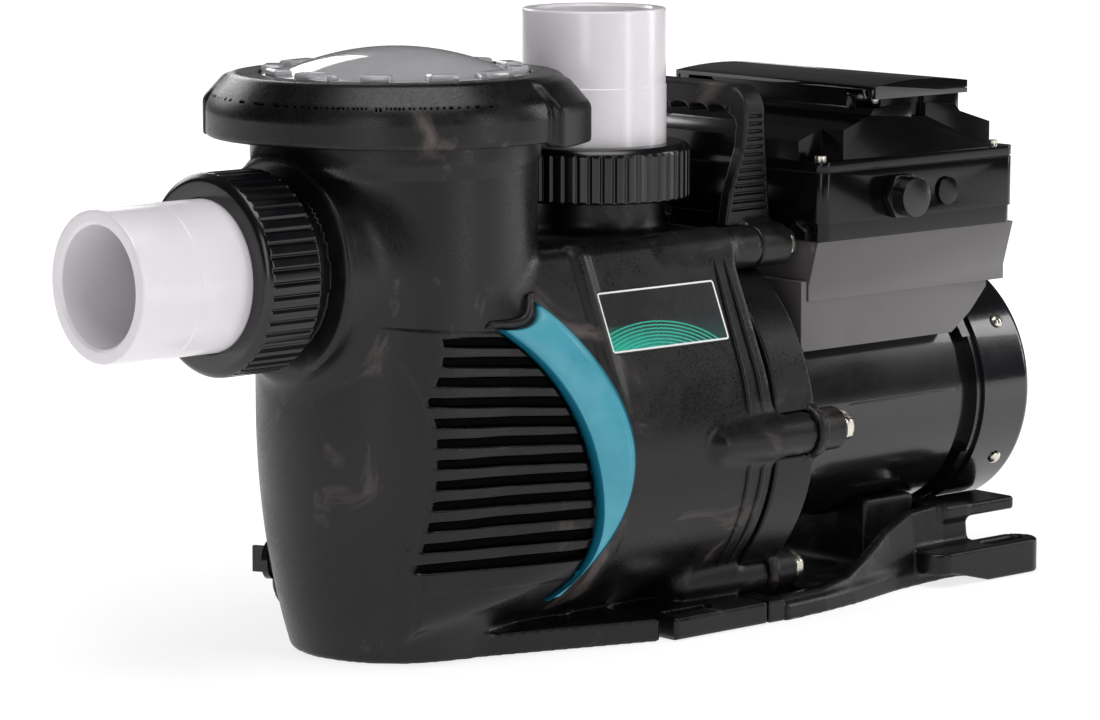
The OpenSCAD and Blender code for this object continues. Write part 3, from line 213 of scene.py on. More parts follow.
# %% [markdown]
# ## Sky and lamps
# The pump stands in a white studio. The sky is white to the eye but dimmer to the object, so
# black parts stay black, and large soft lamps draw the long highlights that show their form.

# %% Studio
def area_lamp(name, place, target, size, power):
    """A rectangular lamp at a place, turned so that it faces its target."""
    lamp = bpy.data.lights.new(name, "AREA")
    lamp.shape, lamp.size, lamp.size_y = "RECTANGLE", size[0], size[1]
    lamp.energy = power
    obj = bpy.data.objects.new(name, lamp)
    obj.location = place
    obj.rotation_mode = "QUATERNION"
    obj.rotation_quaternion = (Vector(target) - Vector(place)).to_track_quat("-Z", "Y")
    bpy.context.collection.objects.link(obj)


middle = (0.0, 0.0, 0.15)
# Name, place, size in metres and power in watts
lamps = (
    ("top softbox", (-0.3, -0.5, 2.1), (1.6, 1.2), 27),
    ("left softbox", (-2.3, -1.5, 1.0), (0.7, 1.6), 11),
    ("front strip", (0.6, -2.5, 0.8), (0.35, 1.7), 9),
    ("right softbox", (2.4, -1.2, 1.0), (0.6, 1.5), 15),
    ("back softbox", (0.3, 2.6, 1.3), (2.4, 1.0), 26),
)
for name, place, size, power in lamps:
    area_lamp(name, place, middle, size, power)

# The white that the camera sees behind the pump, and the dimmer white that lights it
seen_strength, felt_strength = 1.0, 0.075
world = bpy.data.worlds.new("studio")
bpy.context.scene.world = world
world.use_nodes = True
sky = world.node_tree
sky.nodes.clear()
seen = add(sky, "Background", Strength=seen_strength)
felt = add(sky, "Background", Strength=felt_strength)
path = add(sky, "LightPath")
mix = add(sky, "MixShader", [(path.outputs["Is Camera Ray"], 0), (felt.outputs[0], 1),
                             (seen.outputs[0], 2)])
add(sky, "OutputWorld", [(mix.outputs[0], "Surface")])
print(len(lamps), "lamps,", sum(lamp[3] for lamp in lamps), "W in all")

# %% [markdown]
# ## Finishes
# Glass-filled polypropylene leaves the mould satin black. Fibres at the skin scatter light and
# show as warm, cloudy patches. Here the lightest patches are painted into the base colour, partly
# as that fibre bloom and partly as a painted sheen; the other plastics are cleaner and glossier.

# %% Finishes of this pump
# Each row: name, tones, patch size, grain size, roughness range, bump height, other sockets
finishes = {
    # Warm satin black with slow, cloudy, lighter patches: the lightest tone is partly fibres at
    # the skin and partly a painted sheen
    "moulded_black": finish("glass-filled polypropylene",
                            ["#060507", "#0a090b", "#151213", "#574e4b"], 55, 1.2,
                            (0.22, 0.5), 0.015),
    # Deep, even black whose narrow highlights pick out each flute
    "nut_black": finish("black acetal", ["#050608", "#0a0b0e"], 40, 0.8, (0.18, 0.27), 0.004),
    # Faintly violet white with a soft, wide sheen
    "white_pvc": finish("extruded white pvc", ["#e2dde2", "#ece7ec"], 60, 0.9, (0.16, 0.26),
                        0.003, IOR=1.53),
    # The only strong colour: calm blue-green, with hardly any gloss
    "teal_trim": finish("teal abs", ["#378ea3", "#439cb0", "#53a8ba"], 60, 0.7, (0.3, 0.4),
                        0.004),
    # Pale, see-through dome with sharp highlights
    "clear_plastic": finish("smoky polycarbonate", ["#d6d5d9", "#e4e3e6"], 60, 2.0,
                            (0.03, 0.08), 0.002, IOR=1.585, Transmission_Weight=0.5),
    # Dull white that glows through the dome
    "basket_white": finish("white polypropylene", ["#e8e8e6", "#f4f4f2"], 40, 0.8, (0.35, 0.5),
                           0.01),
    # Flat dark line between hard parts
    "seal_rubber": finish("nitrile rubber", ["#0d0d0e", "#161617"], 20, 0.5, (0.6, 0.75), 0.01),
    # Smooth dark plate that carries the print
    "badge": finish("printed badge", ["#141416", "#1b1b1e"], 30, 0.5, (0.22, 0.3), 0.002),
    # Small warm glints at the bolts
    "steel_bright": finish("nickel plated steel", ["#c9c2b6", "#e3ded4"], 12, 0.3,
                           (0.18, 0.3), 0.004, Metallic=1.0),
    # Grey metal brushed along the shaft
    "steel_plain": finish("ground steel", ["#9fa0a3", "#c0c2c5"], 12, 0.25, (0.25, 0.4), 0.004,
                          stretch=(0.1, 1, 1), Metallic=1.0),
    # Dark stack of thin sheets, streaked across the shaft
    "core_steel": finish("electrical sheet steel", ["#5d6064", "#7c7f83"], 10, 0.4,
                         (0.4, 0.55), 0.01, stretch=(8, 1, 1), Metallic=1.0),
    # Orange-brown bundles of wire
    "copper": finish("enamelled copper wire", ["#9a5227", "#c27a45"], 8, 0.8, (0.25, 0.4),
                     0.05, stretch=(0.2, 1, 1), Metallic=1.0),
    # Cream ring, lapped smooth
    "ceramic_seat": finish("lapped ceramic", ["#ddd6c8", "#ece7dc"], 10, 0.3, (0.2, 0.3),
                           0.002),
    # Grey-beige plastic, matt from the fibres
    "wet_plastic": finish("glass-filled noryl", ["#8d8b84", "#a3a098"], 30, 0.8, (0.4, 0.55),
                          0.01),
    # Glossy black with the shallow orange peel of paint on a casting
    "motor_black": finish("black enamel on cast aluminium", ["#09090b", "#111114"], 60, 1.6,
                          (0.16, 0.27), 0.02, Coat_Weight=0.3),
    # The glossiest paint: long, clean highlights along the curve
    "cover_black": finish("black enamel on sheet steel", ["#090a0d", "#101218"], 60, 1.4,
                          (0.12, 0.22), 0.012, Coat_Weight=0.4),
    # Very dark, smooth black with tight highlights at the edges
    "drive_black": finish("black polycarbonate blend", ["#040405", "#070709"], 60, 0.9,
                          (0.12, 0.2), 0.002, Specular_IOR_Level=0.28),
    # Polished, almost like a mirror, so it shows the sky as a pale band
    "flap_black": finish("polished black abs", ["#060607", "#0a0a0c"], 60, 0.9, (0.05, 0.1),
                         0.003, Coat_Weight=0.5),
    # Even mid grey that sets the tray off from the black round it: a dark powder coat, its base
    # colour lifted to paint in the sheen that the leaning tray catches from low in front
    "tray_paint": finish("dark powder coat", ["#545051", "#5c5859"], 60, 3.0, (0.16, 0.22),
                         0.0005, Coat_Weight=0.25),
    # Matt black blades behind the grille
    "fan_plastic": finish("black nylon", ["#161618", "#202023"], 30, 0.6, (0.4, 0.5), 0.01),
    # Dark green under a thin, shiny lacquer
    "board": finish("circuit board lacquer", ["#1d5136", "#2f7a4f"], 6, 0.4, (0.3, 0.5), 0.01),
    # Light grey, soft and matt
    "key_grey": finish("grey silicone", ["#bdbdbd", "#cfcfcf"], 10, 0.4, (0.5, 0.6), 0.006),
    # Muted green that tells one key from the rest
    "key_green": finish("green silicone", ["#3f8a52", "#57a468"], 10, 0.4, (0.5, 0.6), 0.006),
    # Charcoal film with a fine grain
    "panel": finish("keypad film", ["#232427", "#2e2f33"], 20, 0.4, (0.35, 0.45), 0.006),
    # Grey-green window, nearly glossy
    "display": finish("display window", ["#56645c", "#6c7b72"], 20, 0.5, (0.08, 0.14), 0.002),
}


# Specular level where the painted shade is full: such places reflect almost nothing
painted_shade_specular = 0.02


def shaded(slot, dark, specular):
    """Paints shade into a finish where a mesh carries the attribute "groove" near 1: the base
    colour mixes to the dark hex and the specular level falls, as if no light reached it. Other
    meshes read 0 there."""
    tree = finishes[slot].node_tree
    shader = tree.nodes["Principled BSDF"]
    depth = add(tree, "Attribute", attribute_name="groove").outputs["Fac"]
    mix = add(tree, "MixRGB", [(depth, "Fac")], Color2=hex_linear(dark))
    tree.links.new(shader.inputs["Base Color"].links[0].from_socket, mix.inputs["Color1"])
    tree.links.new(mix.outputs["Color"], shader.inputs["Base Color"])
    level = add(tree, "MapRange", [(depth, "Value")], To_Min=specular, To_Max=painted_shade_specular)
    tree.links.new(level.outputs["Result"], shader.inputs["Specular IOR Level"])


# Painted shade: the louvre gaps' floors go near black and almost stop reflecting
shaded("moulded_black", "#030203", 0.34)
# Painted shade: darker teal with almost no specular along the crescent's edges
shaded("teal_trim", "#12566b", 0.5)
slot_of = {s["node"]: s["material_slot"] for s in frame["record"]["subparts"]}
for node, obj in frame["nodes"].items():
    obj.data.materials.clear()
    obj.data.materials.append(finishes[slot_of[node]])
print(len(finishes), "finishes on", len(slot_of), "nodes")

# %% [markdown]
# ## Moulded skins from distance fields
# A moulding has no sharp inner corner: every boss flows into its neighbour with a fillet. Such
# a shape could be modelled face by face, but a distance field gives it directly. A field is a
# function of a point that says how far the point is outside the surface (negative inside).
# Fields are cut and joined by simple formulas, and a surface net turns one into a mesh.

# %% Distance-field helpers
def meet(a, b, edge):
    """Overlap of two fields with a rounded edge: the larger of the two, and round the outer
    corner the distance to an arc of radius edge."""
    a, b = a + edge, b + edge
    return np.minimum(np.maximum(a, b), 0) + np.hypot(np.maximum(a, 0), np.maximum(b, 0)) - edge


def weld(a, b, fillet):
    """Union of two fields with a fillet: the smaller one, less a parabola where they are near."""
    near = np.maximum(fillet - np.abs(a - b), 0) / fillet
    return np.minimum(a, b) - near * near * fillet / 4


def carve(a, b, fillet):
    """Field a with field b cut out of it, and the rim softened by the fillet."""
    return -weld(-a, b, fillet)


def span(v, low, high):
    """Distance outside the slab from low to high: half the width off the middle."""
    return np.abs(v - (low + high) / 2) - (high - low) / 2


def rod(along, u, v, low, high, radius, edge=1.5):
    """Round bar along one axis: distance from its line meets distance from its end planes."""
    return meet(np.hypot(u, v) - radius, span(along, low, high), edge)


def new_mesh(name, points, *blocks, normals=None):
    """Puts an array of points (in mm) and arrays of quads or triangles into a mesh object."""
    faces = [face for block in blocks for face in block.tolist()]
    mesh = bpy.data.meshes.new(name)
    mesh.from_pydata((points * MM).tolist(), [], faces)
    mesh.polygons.foreach_set("use_smooth", np.ones(len(faces), bool))
    if normals is not None:
        mesh.normals_split_custom_set_from_vertices(normals.tolist())
    obj = bpy.data.objects.new(name, mesh)
    bpy.context.collection.objects.link(obj)
    return obj


def dress(obj, slot, body, *nodes):
    """Gives a new piece its finish, its body and the CAD nodes that it stands for."""
    obj.data.materials.append(finishes[slot])
    if nodes:
        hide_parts(*nodes)
    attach(obj, body)
    print(f"{obj.name}: {len(obj.data.polygons)} faces")


def surface_net(field, low, high, step):
    """One vertex in each cell that the surface crosses, at the mean of the crossings on the
    cell's edges, and one quad round each crossed grid edge, facing outwards. Three Newton
    steps down the field's gradient then set each vertex on the surface, and give its normal."""
    def along(array, axis):
        """The array with its three axes taken in turn, starting from the given one."""
        return np.moveaxis(array, (axis, (axis + 1) % 3, (axis + 2) % 3), (0, 1, 2))

    axes = [np.arange(a, b + step, step, dtype=np.float32) for a, b in zip(low, high)]
    f = field(*np.meshgrid(*axes, indexing="ij")).astype(np.float32)
    cells = tuple(n - 1 for n in f.shape)
    total, count = np.zeros((3, *cells), np.float32), np.zeros(cells, np.float32)
    crossings = []
    for axis in range(3):
        g = along(f, axis)
        cross = (g[:-1] < 0) != (g[1:] < 0)
        share = np.where(cross, g[:-1] / np.where(cross, g[:-1] - g[1:], 1), 0)
        crossings.append((cross, g[:-1] < 0))
        sums = [along(total[(axis + i) % 3], axis) for i in range(3)]
        tally = along(count, axis)
        for i in (0, 1):
            for j in (0, 1):
                part = (slice(None), slice(i, i + g.shape[1] - 1), slice(j, j + g.shape[2] - 1))
                sums[0] += share[part]
                sums[1] += i * cross[part]
                sums[2] += j * cross[part]
                tally += cross[part]
    used = count > 0
    index = np.full(cells, -1, np.int64)
    index[used] = np.arange(used.sum())
    points = np.argwhere(used) + (total[:, used] / count[used]).T
    points = points * step + np.array(low)
    quads = []
    for axis, (cross, inside) in enumerate(crossings):
        cell = along(index, axis)
        inner = cross[:, 1:-1, 1:-1]
        ring = np.stack([cell[:, :-1, :-1][inner], cell[:, 1:, :-1][inner],
                         cell[:, 1:, 1:][inner], cell[:, :-1, 1:][inner]], axis=1)
        outward = inside[:, 1:-1, 1:-1][inner]
        quads.append(np.where(outward[:, None], ring, ring[:, ::-1]))
    h, newton_steps = 0.2, 3
    for _ in range(newton_steps):
        here = field(*points.T)
        slope = np.stack([(field(*(points + h * e).T) - field(*(points - h * e).T)) / (2 * h)
                          for e in np.eye(3)], axis=1)
        size = np.maximum((slope ** 2).sum(axis=1), 0.2)
        points = points - np.clip(here / size, -step, step)[:, None] * slope
    normals = slope / np.maximum(np.linalg.norm(slope, axis=1), 1e-6)[:, None]
    return points, np.concatenate(quads), normals


def moulding(name, field, low, high, step, slot, body, *nodes):
    """Meshes a distance field inside a box in mm and dresses it. No point leaves the CAD box."""
    points, quads, normals = surface_net(field, low, high, step)
    points = np.clip(points, np.array(cad_low) / MM, np.array(cad_high) / MM)
    dress(new_mesh(name, points, quads, normals=normals), slot, body, *nodes)


# %% [markdown]
# ### Tank
# The real tank is one large injection moulding. The pot is a barrel that draws in at the foot,
# the casing is a round drum with two bolt shoulders, and flat flanks run between them. Each is
# one simple field, and the fillets between them come from the weld.

# %% Tank field
pipe_r, bore_r = 45.0, 35.5
flank_x0, flank_x1 = pot_x - 0.5 * pot_r, -74.0
flank_y0, flank_y1 = 0.83 * pot_r, casing_r - 4
flank_slope = (flank_y1 - flank_y0) / (flank_x1 - flank_x0)
shoulder_y, shoulder_z = bolt_rows[0]
foot_half, foot_t = 111.0, 14.0
boss_end = split_x + 26
suction_seat = box_mm("suction_tailpiece")[1][0]
discharge_seat = box_mm("discharge_tailpiece")[0][2]
pot_cap, drum_x, block_x, foot_end_x, foot_end_r = 10, -84, -33, -41, 62.0
straight_z, draw_in, collar_z, collar_out = 150, 20, 291, 2
neck_r, thread_r, flange_r = pipe_r + 21, pipe_r + 5.4, 106.2
slot_r, slot_half, slot_y = 5.5, 13, foot_half - 17
nose_length = 52
# Row, length ahead of the split, nose radius, taper and fillet of the tank's bolt bosses
tank_bosses = ((0, 66, 9, 0.2, 6), (1, 52, 7, 0.45, 9), (2, 50, 9, 0.2, 9))


def pot_radius(z):
    """Radius of the pot: straight above a height, drawn in below it, with a collar on top."""
    draw = draw_in * (np.maximum(straight_z - z, 0) / straight_z) ** 2.2
    return pot_r - draw + collar_out * np.clip((z - collar_z) / 6, 0, 1)


def drum_section(y, z):
    """Casing across the shaft: the union of a disc, two tapering arms to the bolt shoulders and
    a bar between them. An arm is a cone's outline between its two end circles."""
    across, up = np.abs(y), z - shaft_z
    rise = shoulder_z - shaft_z
    length = math.hypot(shoulder_y, rise)
    tip_r = boss_r - 1
    taper = (casing_r - tip_r) / length
    lean = math.sqrt(1 - taper * taper)
    v = (across * shoulder_y + up * rise) / length
    u = np.abs(across * rise - up * shoulder_y) / length
    k = v * lean - u * taper
    arm = np.where(k > lean * length, np.hypot(u, v - length) - tip_r,
                   u * lean + v * taper - casing_r)
    arm = np.where(k < 0, np.hypot(u, v) - casing_r, arm)
    bar = np.hypot(np.maximum(across - shoulder_y, 0), up - rise) - tip_r
    return np.minimum(arm, bar)


def bosses(x, y, z, tip, end, radius, rows, nose=1.5, taper=0.0):
    """Bolt bosses on both sides at the given rows, with a round nose at the tip, drawn in
    towards it by the taper."""
    field = None
    for row in rows:
        by, bz = bolt_rows[row]
        slim = radius * (1 - taper * np.clip(1 - (x - tip) / nose_length, 0, 1) ** 1.5)
        one = meet(rod(x, np.abs(y) - by, z - bz, tip, end + 30, slim, nose), x - end, 0.8)
        field = one if field is None else np.minimum(field, one)
    return field


def pot_foot(x, y, z):
    """Foot plate of the pot in plan: a round end and a straight flank tangent to it."""
    px, across, end_r = x - pot_x, np.abs(y), foot_end_r
    corner_x, corner_y = foot_end_x - 0.5 - pot_x, foot_half - 6
    corner = math.hypot(corner_x, corner_y)
    angle = math.atan2(corner_y, corner_x) - math.asin(end_r / corner)
    along = px * math.cos(angle) + across * math.sin(angle)
    aside = across * math.cos(angle) - px * math.sin(angle) - end_r
    plan = np.maximum(np.where(along < 0, np.hypot(px, across) - end_r, aside), x - foot_end_x)
    return meet(plan, span(z, 0, foot_t), 1.5)


def tank_shell(x, y, z):
    """Outside of the tank: pot, drum, flanks, feet, necks and bosses, welded with fillets."""
    across = np.abs(y)
    radial = np.hypot(x - pot_x, y)
    section = drum_section(y, z)
    pot = meet(radial - pot_radius(z), span(z, 0, pot_top - pot_cap), 3)
    drum = meet(section, span(x, drum_x, split_x), 2.5)
    flank = (across - flank_y0 - flank_slope * (x - flank_x0)) / math.hypot(1, flank_slope)
    flank = meet(meet(flank, section, 6), span(x, flank_x0, flank_x1), 3)
    body = weld(pot, weld(drum, flank, 5), 5)
    for row, length, nose, taper, fillet in tank_bosses:
        boss = bosses(x, y, z, split_x - length, boss_end, boss_r, [row], nose, taper)
        body = weld(body, boss, fillet)
    block = meet(across - foot_half, span(x, block_x, split_x), 2.5)
    block = meet(block, span(z, 0, foot_t), 1.5)
    body = weld(body, np.minimum(pot_foot(x, y, z), block), 5)
    neck = rod(x, y, z - suction_z, pot_x - pot_r - 6, pot_x, neck_r, 4)
    body = weld(body, neck, 14)
    thread = rod(x, y, z - suction_z, suction_seat, pot_x, thread_r, 1)
    body = np.minimum(body, thread)
    riser = rod(z, x, y, shaft_z, discharge_seat - 18, pipe_r - 1, 1)
    body = weld(body, riser, 8)
    thread = rod(z, x, y, discharge_seat - 20, discharge_seat, thread_r, 1)
    flange = rod(z, x - pot_x, y, pot_top - pot_cap, pot_top, flange_r, 1)
    return np.minimum(body, np.minimum(thread, flange))


crescent_outer = (flank_x1 - 119, shaft_z, 118.5)
crescent_inner = (flank_x1 - 156, shaft_z - 32, 137.0)
louvre_low, louvre_high, louvre_depth = 50.0, 196.0, 5.8
# The ribs' left ends: place, then height, reach and amount of the lean at the top and bottom
left_x, top_lean, foot_lean = pot_x - 39, (142, 62, 29), (117, 63, 12)


def louvre_left(z):
    """X of the ribs' left ends: nearly upright, leaning back at the top and the bottom."""
    over, over_reach, over_back = top_lean
    under, under_reach, under_back = foot_lean
    return (left_x - over_back * (np.clip(z - over, 0, over_reach) / over_reach) ** 1.5
            - under_back * (np.clip(under - z, 0, under_reach) / under_reach) ** 1.5)


def louvre_recess(x, z):
    """Side field of the sunk panel: between two heights, right of the ribs' left ends and
    left of the crescent's inner arc."""
    cx, cz, r = crescent_inner
    panel = meet(span(z, louvre_low, louvre_high), louvre_left(z) + 3 - x, 2)
    return np.maximum(panel, np.hypot(x - cx, z - cz) - r - 3)


well_floor, well_full, well_foot_r, well_top_r, well_step = 30, 110, 65.5, 75, 3
throat_x, throat_r, slot_x = -45, 45, -8


def tank(x, y, z):
    """The tank's shell, pushed in at the louvre panels, with the strainer well, the ports and
    the hold-down slots cut out."""
    radial = np.hypot(x - pot_x, y)
    shell = tank_shell(x, y, z)
    shell = np.maximum(shell, -np.maximum(louvre_recess(x, z), -(shell + louvre_depth + 0.4)))
    well_r = np.interp(z, [well_floor, well_full], [well_foot_r, well_top_r])
    well_r += well_step * (z > pot_top - 19)
    well = np.maximum(radial - well_r, well_floor - z)
    suction = rod(x, y, z - suction_z, suction_seat - 9, pot_x, bore_r, 0.5)
    riser = rod(z, x, y, shaft_z, discharge_seat + 9, bore_r, 0.5)
    throat = rod(x, y, z - shaft_z, pot_x, throat_x, throat_r, 0.5)
    slot = np.hypot(np.maximum(np.abs(x - slot_x) - slot_half, 0), np.abs(y) - slot_y) - slot_r
    holes = np.minimum(np.minimum(well, suction), np.minimum(riser, throat))
    holes = np.minimum(holes, np.maximum(slot, z - 30))
    return carve(shell, holes, 1.0)


# %% [markdown]
# The field is meshed in one go. A coarser net would lose the bosses' noses, and a finer one
# would only repeat flat wall.

# %% Tank skin
tank_step = 2.7
moulding("tank_skin", tank, tank_low - 4, tank_high + 4, tank_step, "moulded_black", "pump",
         "tank_body")

# %% [markdown]
# ### Pieces draped on the tank's flanks
# The louvre ribs and the blue-green crescent follow the flank wherever it bends. So each is a
# grid in side view, and the height of every grid point is found by walking in from outside
# along Y until the tank's field is zero. A closed sheet has a front, a back and a rim.

# %% Draping helpers
walk_steps, walk_share = 60, 0.8


def drape(x, z, lift):
    """Y on the near side where the tank's skin is, lifted outwards: a walk along Y whose steps
    are the field's own value, so that it never passes the surface."""
    y = np.full_like(x, -rim_r - 20)
    for _ in range(walk_steps):
        y = y + walk_share * tank_shell(x, y, z)
    return y - lift


def closed_sheet(front, behind):
    """Faces of a closed sheet from two grids of points (rows, columns, 3): the front grid, the
    back grid turned round, and a rim of quads between their borders."""
    rows, cols = front.shape[:2]
    grid = np.arange(rows * cols).reshape(rows, cols)
    quads = np.stack([grid[:-1, :-1], grid[1:, :-1], grid[1:, 1:], grid[:-1, 1:]], -1)
    quads = quads.reshape(-1, 4)
    edge = np.concatenate([grid[0, :], grid[1:, -1], grid[-1, -2::-1], grid[-2:0:-1, 0]])
    after = np.roll(edge, -1)
    count = rows * cols
    rim = np.stack([edge, after, after + count, edge + count], axis=1)
    points = np.concatenate([front.reshape(-1, 3), behind.reshape(-1, 3)])
    return points, np.concatenate([quads, quads[:, ::-1] + count, rim])


def both_flanks(name, front, behind, groove, slot, *nodes):
    """The sheet on the near flank and its mirror image on the far one, in one object, with the
    painted groove shade of every front point kept as an attribute."""
    points, faces = closed_sheet(front, behind)
    mirrored = points * (1, -1, 1)
    points = np.concatenate([points, mirrored])
    faces = np.concatenate([faces, faces[:, ::-1] + len(mirrored)])
    obj = new_mesh(name, points, faces)
    shade = obj.data.attributes.new("groove", "FLOAT", "POINT")
    shade.data.foreach_set("value", np.tile(groove.ravel(), 4).astype(np.float32))
    dress(obj, slot, "pump", *nodes)


def ease(t):
    """Smooth step from 0 to 1 for t from 0 to 1."""
    t = np.clip(t, 0, 1)
    return t * t * (3 - 2 * t)


# %% [markdown]
# ### Louvre ribs
# Thirteen ribs with deep gaps are moulded into each flank, and the gaps' floors carry a painted
# shade that makes them near black. They could be cut as boxes, but on a grid that follows each
# rib's slight fall the edges stay round and the ends can fade out. So the depth is a product of
# smooth steps along and across the ribs.

# %% Louvre ribs
ribs, per_rib, across_ribs = 13, 20, 64
rib_pitch, rib_top, end_fall = 12.5, 204.0, 7
u, w = np.meshgrid(np.linspace(0, 1, across_ribs),
                   np.linspace(-0.25, ribs - 0.1, ribs * per_rib), indexing="ij")
z_left = rib_top - w * rib_pitch
fall = end_fall * np.clip(1.6 - w / 6, 0, 1)
z_rib = z_left - fall * u
cx, cz, cr = crescent_inner
x_right = cx + np.sqrt(np.maximum((cr + 1) ** 2 - (z_rib - cz) ** 2, 0))
x_rib = louvre_left(z_left) + (x_right - louvre_left(z_left)) * u
# Across one rib the face takes a share of the pitch, then the gap opens below it
phase = (w + 0.25) % 1
face_share = 0.52 - 0.12 * u
into_gap = ease((phase - face_share) / 0.07) * ease((1 - phase) / 0.06) * (w < ribs - 1)
opened = ease((u - 0.03 - 0.45 * np.clip(1 - w / 3.5, 0, 1)) / 0.06)
fade = 0.75 + 0.25 * ease((u - 0.1) / 0.5)
tuck = 2.2 * ease((u - 0.955) / 0.03)
border = ease(u / 0.03) * ease((w + 0.25) / 0.3) * ease((ribs - 0.1 - w) / 0.3)
sunk = into_gap * opened * fade
rib_lift = 0.9 * border - 0.3 - np.maximum((louvre_depth - 0.9) * sunk, tuck)
front = np.stack([x_rib, drape(x_rib, z_rib, rib_lift), z_rib], -1)
behind = np.stack([x_rib, drape(x_rib, z_rib, np.full_like(u, -louvre_depth - 0.2)), z_rib], -1)
# Painted shade in the gaps: darker and less shiny the deeper a point lies
both_flanks("louvre_ribs", front, behind, ease(sunk / 0.5), "moulded_black")

# %% [markdown]
# ### Crescent trim
# A separate blue-green strip is clipped over the louvres' ends. Its two edges are arcs, so one
# parameter runs along it and one across it, and a raised border is a smooth step of the
# distance from the nearest edge. A strip bends smoothly, so its sheet is a smooth fit through
# the flank and not the flank itself.

# %% Crescent trim
u, v = np.meshgrid(np.linspace(0, 1, 160), np.linspace(0, 1, 34), indexing="ij")
hollow_end = 0.05 * (1 - (2 * v - 1) ** 2) * (1 - u) ** 3
along = u + hollow_end
ox, oz, outer_r = crescent_outer
# Degrees at which each arc starts at the top and ends at the bottom
outer_start, outer_stop, inner_start, inner_stop = 54.5, -46.5, 57.0, -21.8
outer_turn = np.radians(outer_start + (outer_stop - outer_start) * along)
inner_turn = np.radians(inner_start + (inner_stop - inner_start) * along)
x_out, z_out = ox + outer_r * np.cos(outer_turn), oz + outer_r * np.sin(outer_turn)
x_in, z_in = cx + cr * np.cos(inner_turn), cz + cr * np.sin(inner_turn)
x_band, z_band = x_in + (x_out - x_in) * v, z_in + (z_out - z_in) * v
width = np.hypot(x_out - x_in, z_out - z_in)
from_edge = np.minimum(v, 1 - v) * width
from_end = np.minimum(from_edge, along * 160)
band_lift = (0.3 + 1.9 * ease(from_end / 0.7) - 0.7 * ease((from_end - 2.2) / 0.9)
             + 0.25 * ease((from_end - 3.5) / 2))
flank_y = drape(x_band, z_band, np.zeros_like(u))
# A smooth sheet through the flank: least squares over low powers of the two parameters
powers = np.stack([u ** i * v ** j for i in range(9) for j in range(4)], -1).reshape(-1, 36)
smooth_y = (powers @ np.linalg.lstsq(powers, flank_y.ravel(), rcond=None)[0]).reshape(u.shape)
smooth_y -= max((smooth_y - flank_y).max(), 0)
front = np.stack([x_band, smooth_y - band_lift, z_band], -1)
behind = np.stack([x_band, flank_y + 1.5, z_band], -1)
print("crescent stands off by at most", round(float((flank_y - smooth_y).max()), 2), "mm")
# Painted shade along the crescent's edges, fading out about 2.4 mm in
painted_edge_shade = ease((2.4 - from_end) / 0.8)
both_flanks("crescent_trim", front[:, ::-1], behind[:, ::-1], painted_edge_shade[:, ::-1], "teal_trim",
            "accent_trims")

# %% [markdown]
# ### Bead at the crescent's hollow end
# A short black bead sits in the hollow at the crescent's top end. It is a bent tube whose
# radius falls to almost nothing at both ends. The same helper makes the ridges and seams below.

# %% Bead at the crescent's hollow end
def loft(rings, first, last):
    """Points and faces of a closed skin over rings (rings, sides, 3): quads between neighbouring
    rings, and triangles from the first and the last ring to an end point each."""
    n, sides = rings.shape[:2]
    i = np.arange(sides)
    j = np.roll(i, -1)
    rows, top = np.arange(n - 1)[:, None] * sides, (n - 1) * sides
    quads = np.stack([rows + i, rows + j, rows + j + sides, rows + i + sides], -1).reshape(-1, 4)
    start = np.stack([j, i, np.full(sides, n * sides)], 1)
    stop = np.stack([i + top, j + top, np.full(sides, n * sides + 1)], 1)
    points = np.concatenate([rings.reshape(-1, 3), [first, last]])
    return points, quads, np.concatenate([start, stop])


def tube(name, path, radius, slot, sides=16):
    """Closed round tube: at each point of the path, a ring of the given radius in the plane
    across the path. The ends close on a point."""
    ahead = np.gradient(path, axis=0)
    ahead /= np.linalg.norm(ahead, axis=1)[:, None]
    side = np.cross(ahead, (0.3, 0.2, 0.93))
    side /= np.linalg.norm(side, axis=1)[:, None]
    up = np.cross(side, ahead)
    turn = np.linspace(0, 2 * np.pi, sides, endpoint=False)[None, :, None]
    ring = side[:, None] * np.cos(turn) + up[:, None] * np.sin(turn)
    rings = path[:, None] + ring * radius[:, None, None]
    dress(new_mesh(name, *loft(rings, path[0], path[-1])), slot, "pump")


def tube_pair(name, x, y, z, radius, slot):
    """The same tube on both sides: a on the near one and b on the far one."""
    for side, letter in ((1, "b"), (-1, "a")):
        tube(name + letter, np.stack([x, side * y, z], -1), radius, slot)


def taper(count, power, least):
    """Share of a tube's radius along its path: round ends, steeper for a higher power."""
    return np.sqrt(np.clip(1 - np.linspace(-1, 1, count) ** power, least, 1))


t = np.linspace(-0.14, 1.16, 60)
bead_size = 3.4
bow = 6.0 * np.sin(np.pi * np.clip(t, 0, 1)) - bead_size
x_end = x_in[0, 0] + (x_out[0, 0] - x_in[0, 0]) * t + bow
z_end = z_in[0, 0] + (z_out[0, 0] - z_in[0, 0]) * t - bow
bead_r = bead_size * np.sqrt(np.clip(1 - (2 * (t - 0.51) / 1.3) ** 2, 0.03, 1))
y_end = drape(x_end, z_end, np.full_like(t, 0.6))
tube_pair("crescent_bead_", x_end, y_end, z_end, bead_r, "moulded_black")

# %% [markdown]
# ### Badge
# The badge is a printed plate on the drum's flat. Its print is a border and a few wave arcs: a
# colour for every grid point, worked out from the point's place on the plate and kept as an
# attribute that the finish reads.

# %% Badge
badge_half = np.array([49.0, 20.0])
# The plate lies on the plane that touches both the drum and its upper bolt shoulder
drop = math.hypot(shoulder_y, shoulder_z - shaft_z)
lean = (math.atan2(shoulder_z - shaft_z, shoulder_y)
        - math.acos((casing_r - boss_r + 1) / drop))
a, b = np.meshgrid(np.linspace(-1, 1, 260) * badge_half[0],
                   np.linspace(-1, 1, 110) * badge_half[1], indexing="ij")
corner = 3.0
badge_x, badge_up, badge_lift, print_edge = -27, 36, 0.3, 0.9


